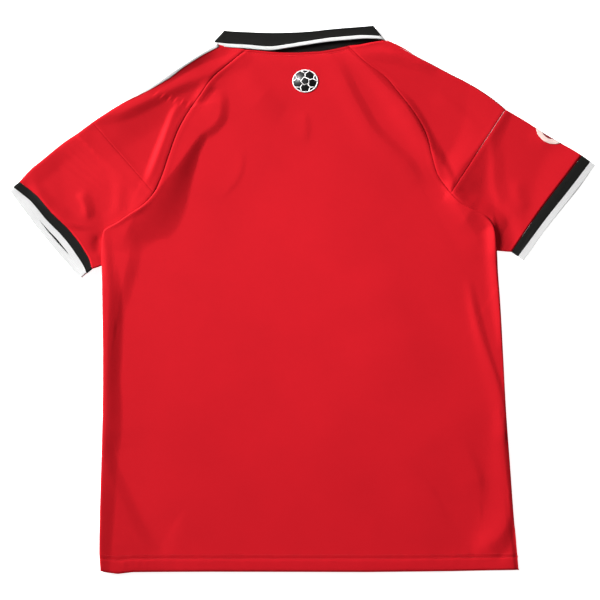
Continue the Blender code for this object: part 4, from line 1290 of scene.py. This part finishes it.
class JERSEY_OT_badge(bpy.types.Operator):
    """Make the round badge under the collar, with a plain ball's panels on it"""
    bl_idname = "jersey.badge"
    bl_label = "Neck Badge"

    centre: bpy.props.FloatVectorProperty(
        name="Centre", description="Middle of the badge on the back", size=2, default=(5.1 * MM, 293.8 * MM),
        subtype="XYZ", unit="LENGTH",
    )

    def execute(self, context):
        bm = bmesh.new()
        bmesh.ops.create_circle(bm, cap_ends=True, segments=BADGE_SIDES, radius=1.0)
        for _ in range(6):
            middle = [face for face in bm.faces if len(face.verts) > 4]
            bmesh.ops.inset_region(bm, faces=middle, thickness=0.15, use_even_offset=True)
        self.lay(bm, BADGE_LIFT[0])
        ground = print_material("badge_ground", (0.008, 0.008, 0.009, 1.0))
        print_piece("neck_badge_disc", bm, ground, "neck_badge", sizes().trim)
        bm = bmesh.new()
        ring(bm, BADGE_SIDES, 0.995, 0.905)
        ring(bm, 5, 0.39, 0.31, math.pi / 2)
        for k in range(5):
            angle = math.pi / 2 + k * 2 * math.pi / 5
            spoke(bm, angle, 0.36, 0.66, 0.04)
            spoke_pair(bm, angle, 0.66, 0.90, 0.036)
        self.lay(bm, BADGE_LIFT[1])
        lines = print_material("badge_lines", shade(colour_of("tape"), 1.4))
        print_piece("neck_badge_lines", bm, lines, None, THIN_PRINT * MM)
        return {"FINISHED"}

    def lay(self, bm, lift):
        """Lay a flat unit shape on the back, that far over the cloth."""
        flat = np.array([vert.co for vert in bm.verts])
        centre, half = np.array(self.centre) / MM, np.array(sizes().badge) / MM
        x, y = centre[0] + flat[:, 0] * half[0], centre[1] + flat[:, 1] * half[1]
        for vert, *place in zip(bm.verts, x, y, top_level(x, y) + lift):
            vert.co = Vector(place) * MM
        bmesh.ops.recalc_face_normals(bm, faces=bm.faces)
        if sum(face.normal.z for face in bm.faces) < 0:
            bmesh.ops.reverse_faces(bm, faces=bm.faces)


def print_piece(name, bm, material, node, thick):
    """Make bm a print of that thickness in metres."""
    add_wall(finish_piece(name, bm, material, node), thick)


def ring(bm, sides, outer, inner, turn=0.0):
    """Flat ring between two circles of that many sides."""
    turned = Matrix.Rotation(turn, 4, "Z")
    loops = []
    for radius in (outer, inner):
        made = bmesh.ops.create_circle(bm, cap_ends=False, segments=sides, radius=radius, matrix=turned)
        loops += list({edge for vert in made["verts"] for edge in vert.link_edges})
    bmesh.ops.bridge_loops(bm, edges=loops)


def spoke(bm, angle, start, end, half):
    """Flat bar along a ray from the middle."""
    bar(bm, Matrix.Rotation(angle, 4, "Z"), (start + end) / 2, (end - start) / 2, half)


def spoke_pair(bm, angle, start, end, half):
    """Two bars that part from the end of a ray, towards the rim."""
    for sign in (-1, 1):
        fork = (
            Matrix.Rotation(angle, 4, "Z") @ Matrix.Translation((start, 0.0, 0.0))
            @ Matrix.Rotation(sign * 0.95, 4, "Z")
        )
        bar(bm, fork, (end - start) * 0.85, (end - start) * 0.85, half)


def bar(bm, turned, middle, long, half):
    """Flat bar along the X axis of turned, of those half lengths round its middle."""
    place = turned @ Matrix.Translation((middle, 0.0, 0.0)) @ Matrix.Diagonal((long, half, 1.0, 1.0))
    bmesh.ops.create_grid(bm, x_segments=3, y_segments=1, size=1.0, matrix=place)


class JERSEY_OT_patch(bpy.types.Operator):
    """Make the round patch over the right sleeve's fold"""
    bl_idname = "jersey.patch"
    bl_label = "Sleeve Patch"

    along: bpy.props.FloatProperty(
        name="Along", description="Place of the patch along the sleeve's fold, from the cross seam",
        default=67.4 * MM, subtype="DISTANCE", unit="LENGTH",
    )
    below: bpy.props.FloatProperty(
        name="Below", description="Distance of its centre in front of the fold", default=14.4 * MM,
        subtype="DISTANCE", unit="LENGTH",
    )

    def execute(self, context):
        radius = in_mm(sizes().patch)
        bm = bmesh.new()
        bmesh.ops.create_circle(bm, cap_ends=True, segments=PATCH_SIDES, radius=1.0)
        self.lay(bm, radius * 0.99, PATCH_LIFT[0])
        disc = print_material("patch_disc", colour_of("patch"))
        print_piece("sleeve_patch_disc", bm, disc, "sleeve_patch", THIN_PRINT * MM)
        bm = bmesh.new()
        ring(bm, PATCH_SIDES, 1.0, 0.76)
        self.lay(bm, radius, PATCH_LIFT[1])
        rim = print_material("patch_ring", colour_of("ring"))
        print_piece("sleeve_patch_ring", bm, rim, None, RING_PRINT * MM)
        return {"FINISHED"}

    def cut(self, bm):
        """Cut a flat shape across the fold, finely enough to bend over it."""
        cuts = [((0, at, 0), (0, 1, 0)) for at in np.linspace(0.3, 0.94, 33)]
        cuts += [((at, 0, 0), (1, 0, 0)) for at in np.linspace(-0.9, 0.9, 13)]
        for place, way in cuts:
            whole = bm.verts[:] + bm.edges[:] + bm.faces[:]
            bmesh.ops.bisect_plane(bm, geom=whole, plane_co=place, plane_no=way)
        bmesh.ops.remove_doubles(bm, verts=bm.verts, dist=0.002)

    def lay(self, bm, radius, lift):
        """Lay a flat unit shape over the sleeve's fold."""
        self.cut(bm)
        rows = sleeve_rows(1)
        knots = chord_knots(rows["fold"])
        flat = np.array([vert.co for vert in bm.verts]) * radius
        s = in_mm(self.along) + flat[:, 0]
        fold = run_point(rows["fold"], knots, s)
        way = unit(run_point(rows["way"], knots, s))
        bent, middle, centre = bend(fold, way)
        outer = bent + lift
        turn = flat[:, 1] - in_mm(self.below) + outer * math.pi / 2
        angle = np.clip(turn / outer, 0.0, math.pi) - math.pi / 2
        past = np.maximum(turn - outer * math.pi, 0.0) + np.maximum(-turn, 0.0)
        sine, cosine = corner(angle)
        spot = centre + way * (outer * cosine - past)[:, None]
        z = middle + outer * sine + swell(centre) * swell_share(sine)
        z = np.where(turn > outer * math.pi, top_level(spot[:, 0], spot[:, 1]) + lift, z)
        for vert, x, y, level in zip(bm.verts, spot[:, 0], spot[:, 1], z):
            vert.co = Vector((x, y, level)) * MM
        bm.normal_update()
        underside = [face for face in bm.faces if face.calc_center_median().z < sizes().top * 0.2]
        if sum(face.normal.z * face.calc_area() for face in underside) > 0:
            bmesh.ops.reverse_faces(bm, faces=bm.faces)


class JERSEY_OT_stitches(bpy.types.Operator):
    """Sew the hem's twin rows and the row under the collar"""
    bl_idname = "jersey.stitches"
    bl_label = "Stitches"

    def execute(self, context):
        length, hem = in_mm(sizes().stitch), in_mm(sizes().hem)
        bottom = BODY_EDGE[0][2]
        bm = bmesh.new()
        x = np.linspace(*HEM_SPAN, 260)
        for over, raised in HEM_ROWS:
            y = bottom + hem + over + table(HEM_LINE, x) * (1.0 - smooth(hem / HEM_CURVE))
            z = top_level(x, y) + THREAD_LIFT + raised
            stitch_run(bm, np.stack([x, y, z], axis=1), length, THREAD_GAP, 0.42)
        x = np.linspace(*NECK_SPAN, 120)
        y = neck_height(x, True) - NECK_ROW
        z = top_level(x, y) + THREAD_LIFT
        stitch_run(bm, np.stack([x, y, z], axis=1), length, THREAD_GAP, 0.4)
        finish_piece("back_stitches", bm, print_material("red_thread", (0.56, 0.012, 0.02, 1.0)), None)
        return {"FINISHED"}


class JERSEY_OT_stage(bpy.types.Operator):
    """Set up the floor, the lights and the camera"""
    bl_idname = "jersey.stage"
    bl_label = "Stage"

    def execute(self, context):
        scene = context.scene
        stage = scene.jersey_stage
        bm = bmesh.new()
        bmesh.ops.create_grid(bm, x_segments=1, y_segments=1, size=FLOOR_HALF)
        bmesh.ops.translate(bm, verts=bm.verts, vec=(0.0, 0.0, FLOOR_LEVEL))
        mesh = bpy.data.meshes.new("floor")
        bm.to_mesh(mesh)
        bm.free()
        floor = bpy.data.objects.new("floor", mesh)
        scene.collection.objects.link(floor)
        shader = Shader("pale_floor")
        shader.put("Base Color", colour_of("floor"))
        shader.put("Roughness", 0.9)
        shader.put("Specular IOR Level", 0.1)
        shader.put("Emission Color", (1.0, 1.0, 1.0, 1.0))
        shader.put("Emission Strength", FLOOR_GLOW)
        mesh.materials.append(shader.material)

        key = self.lamp("key", "AREA", stage.key, KEY_PLACE, shape="SQUARE", size=KEY_SIZE, spread=stage.key_spread)
        key.visible_camera = False
        key.rotation_mode = "QUATERNION"
        key.rotation_quaternion = (Vector(KEY_AIM) - Vector(KEY_PLACE)).to_track_quat("-Z", "Y")
        self.lamp("crown", "SPOT", stage.crown, CROWN_PLACE, spot_size=CROWN_ANGLE, spot_blend=1.0,
                  shadow_soft_size=CROWN_RADIUS)

        world = bpy.data.worlds.new("studio")
        world.use_nodes = True
        sky = world.node_tree.nodes["Background"]
        sky.inputs["Color"].default_value = (1.0, 1.0, 1.0, 1.0)
        sky.inputs["Strength"].default_value = stage.fill
        scene.world = world
        scene.view_settings.view_transform = "Standard"

        data = bpy.data.cameras.new("camera")
        data.sensor_width = SENSOR
        data.lens = SENSOR * stage.camera_height / stage.frame_width
        data.clip_end = 50.0
        camera = bpy.data.objects.new("camera", data)
        camera.location = (*CAMERA_PLAN, stage.camera_height + sizes().top)
        scene.collection.objects.link(camera)
        scene.camera = camera
        return {"FINISHED"}

    def lamp(self, name, kind, power, place, **settings):
        """A lamp at place, which shines straight down unless it is turned."""
        data = bpy.data.lights.new(name, kind)
        data.energy = power
        for key, value in settings.items():
            setattr(data, key, value)
        lamp = bpy.data.objects.new(name, data)
        lamp.location = place
        bpy.context.scene.collection.objects.link(lamp)
        return lamp


OPERATORS = (
    JERSEY_OT_body,
    JERSEY_OT_shoulders,
    JERSEY_OT_sleeves,
    JERSEY_OT_cuffs,
    JERSEY_OT_collar,
    JERSEY_OT_tapes,
    JERSEY_OT_badge,
    JERSEY_OT_patch,
    JERSEY_OT_stitches,
    JERSEY_OT_stage,
)


class JERSEY_PT_panel(bpy.types.Panel):
    """Lists the jersey's pieces in the sidebar"""
    bl_idname = "JERSEY_PT_panel"
    bl_label = "Football Jersey"
    bl_space_type = "VIEW_3D"
    bl_region_type = "UI"
    bl_category = "Jersey"

    def draw(self, context):
        layout = self.layout
        for operator in OPERATORS:
            layout.operator(operator.bl_idname)
        for group in (context.scene.jersey_sizes, context.scene.jersey_colours, context.scene.jersey_stage):
            box = layout.box()
            for prop in group.bl_rna.properties:
                if prop.identifier not in {"rna_type", "name"}:
                    box.prop(group, prop.identifier)


CLASSES = (JerseySizes, JerseyColours, JerseyStage, *OPERATORS, JERSEY_PT_panel)


def register():
    for cls in CLASSES:
        bpy.utils.register_class(cls)
    bpy.types.Scene.jersey_sizes = bpy.props.PointerProperty(type=JerseySizes)
    bpy.types.Scene.jersey_colours = bpy.props.PointerProperty(type=JerseyColours)
    bpy.types.Scene.jersey_stage = bpy.props.PointerProperty(type=JerseyStage)


def unregister():
    del bpy.types.Scene.jersey_stage
    del bpy.types.Scene.jersey_colours
    del bpy.types.Scene.jersey_sizes
    for cls in reversed(CLASSES):
        bpy.utils.unregister_class(cls)


def main():
    register()
    bpy.ops.jersey.body()
    bpy.ops.jersey.shoulders()
    bpy.ops.jersey.sleeves()
    bpy.ops.jersey.cuffs()
    bpy.ops.jersey.collar()
    bpy.ops.jersey.tapes()
    bpy.ops.jersey.badge()
    bpy.ops.jersey.patch()
    bpy.ops.jersey.stitches()
    bpy.ops.jersey.stage()


if __name__ == "__main__":
    main()
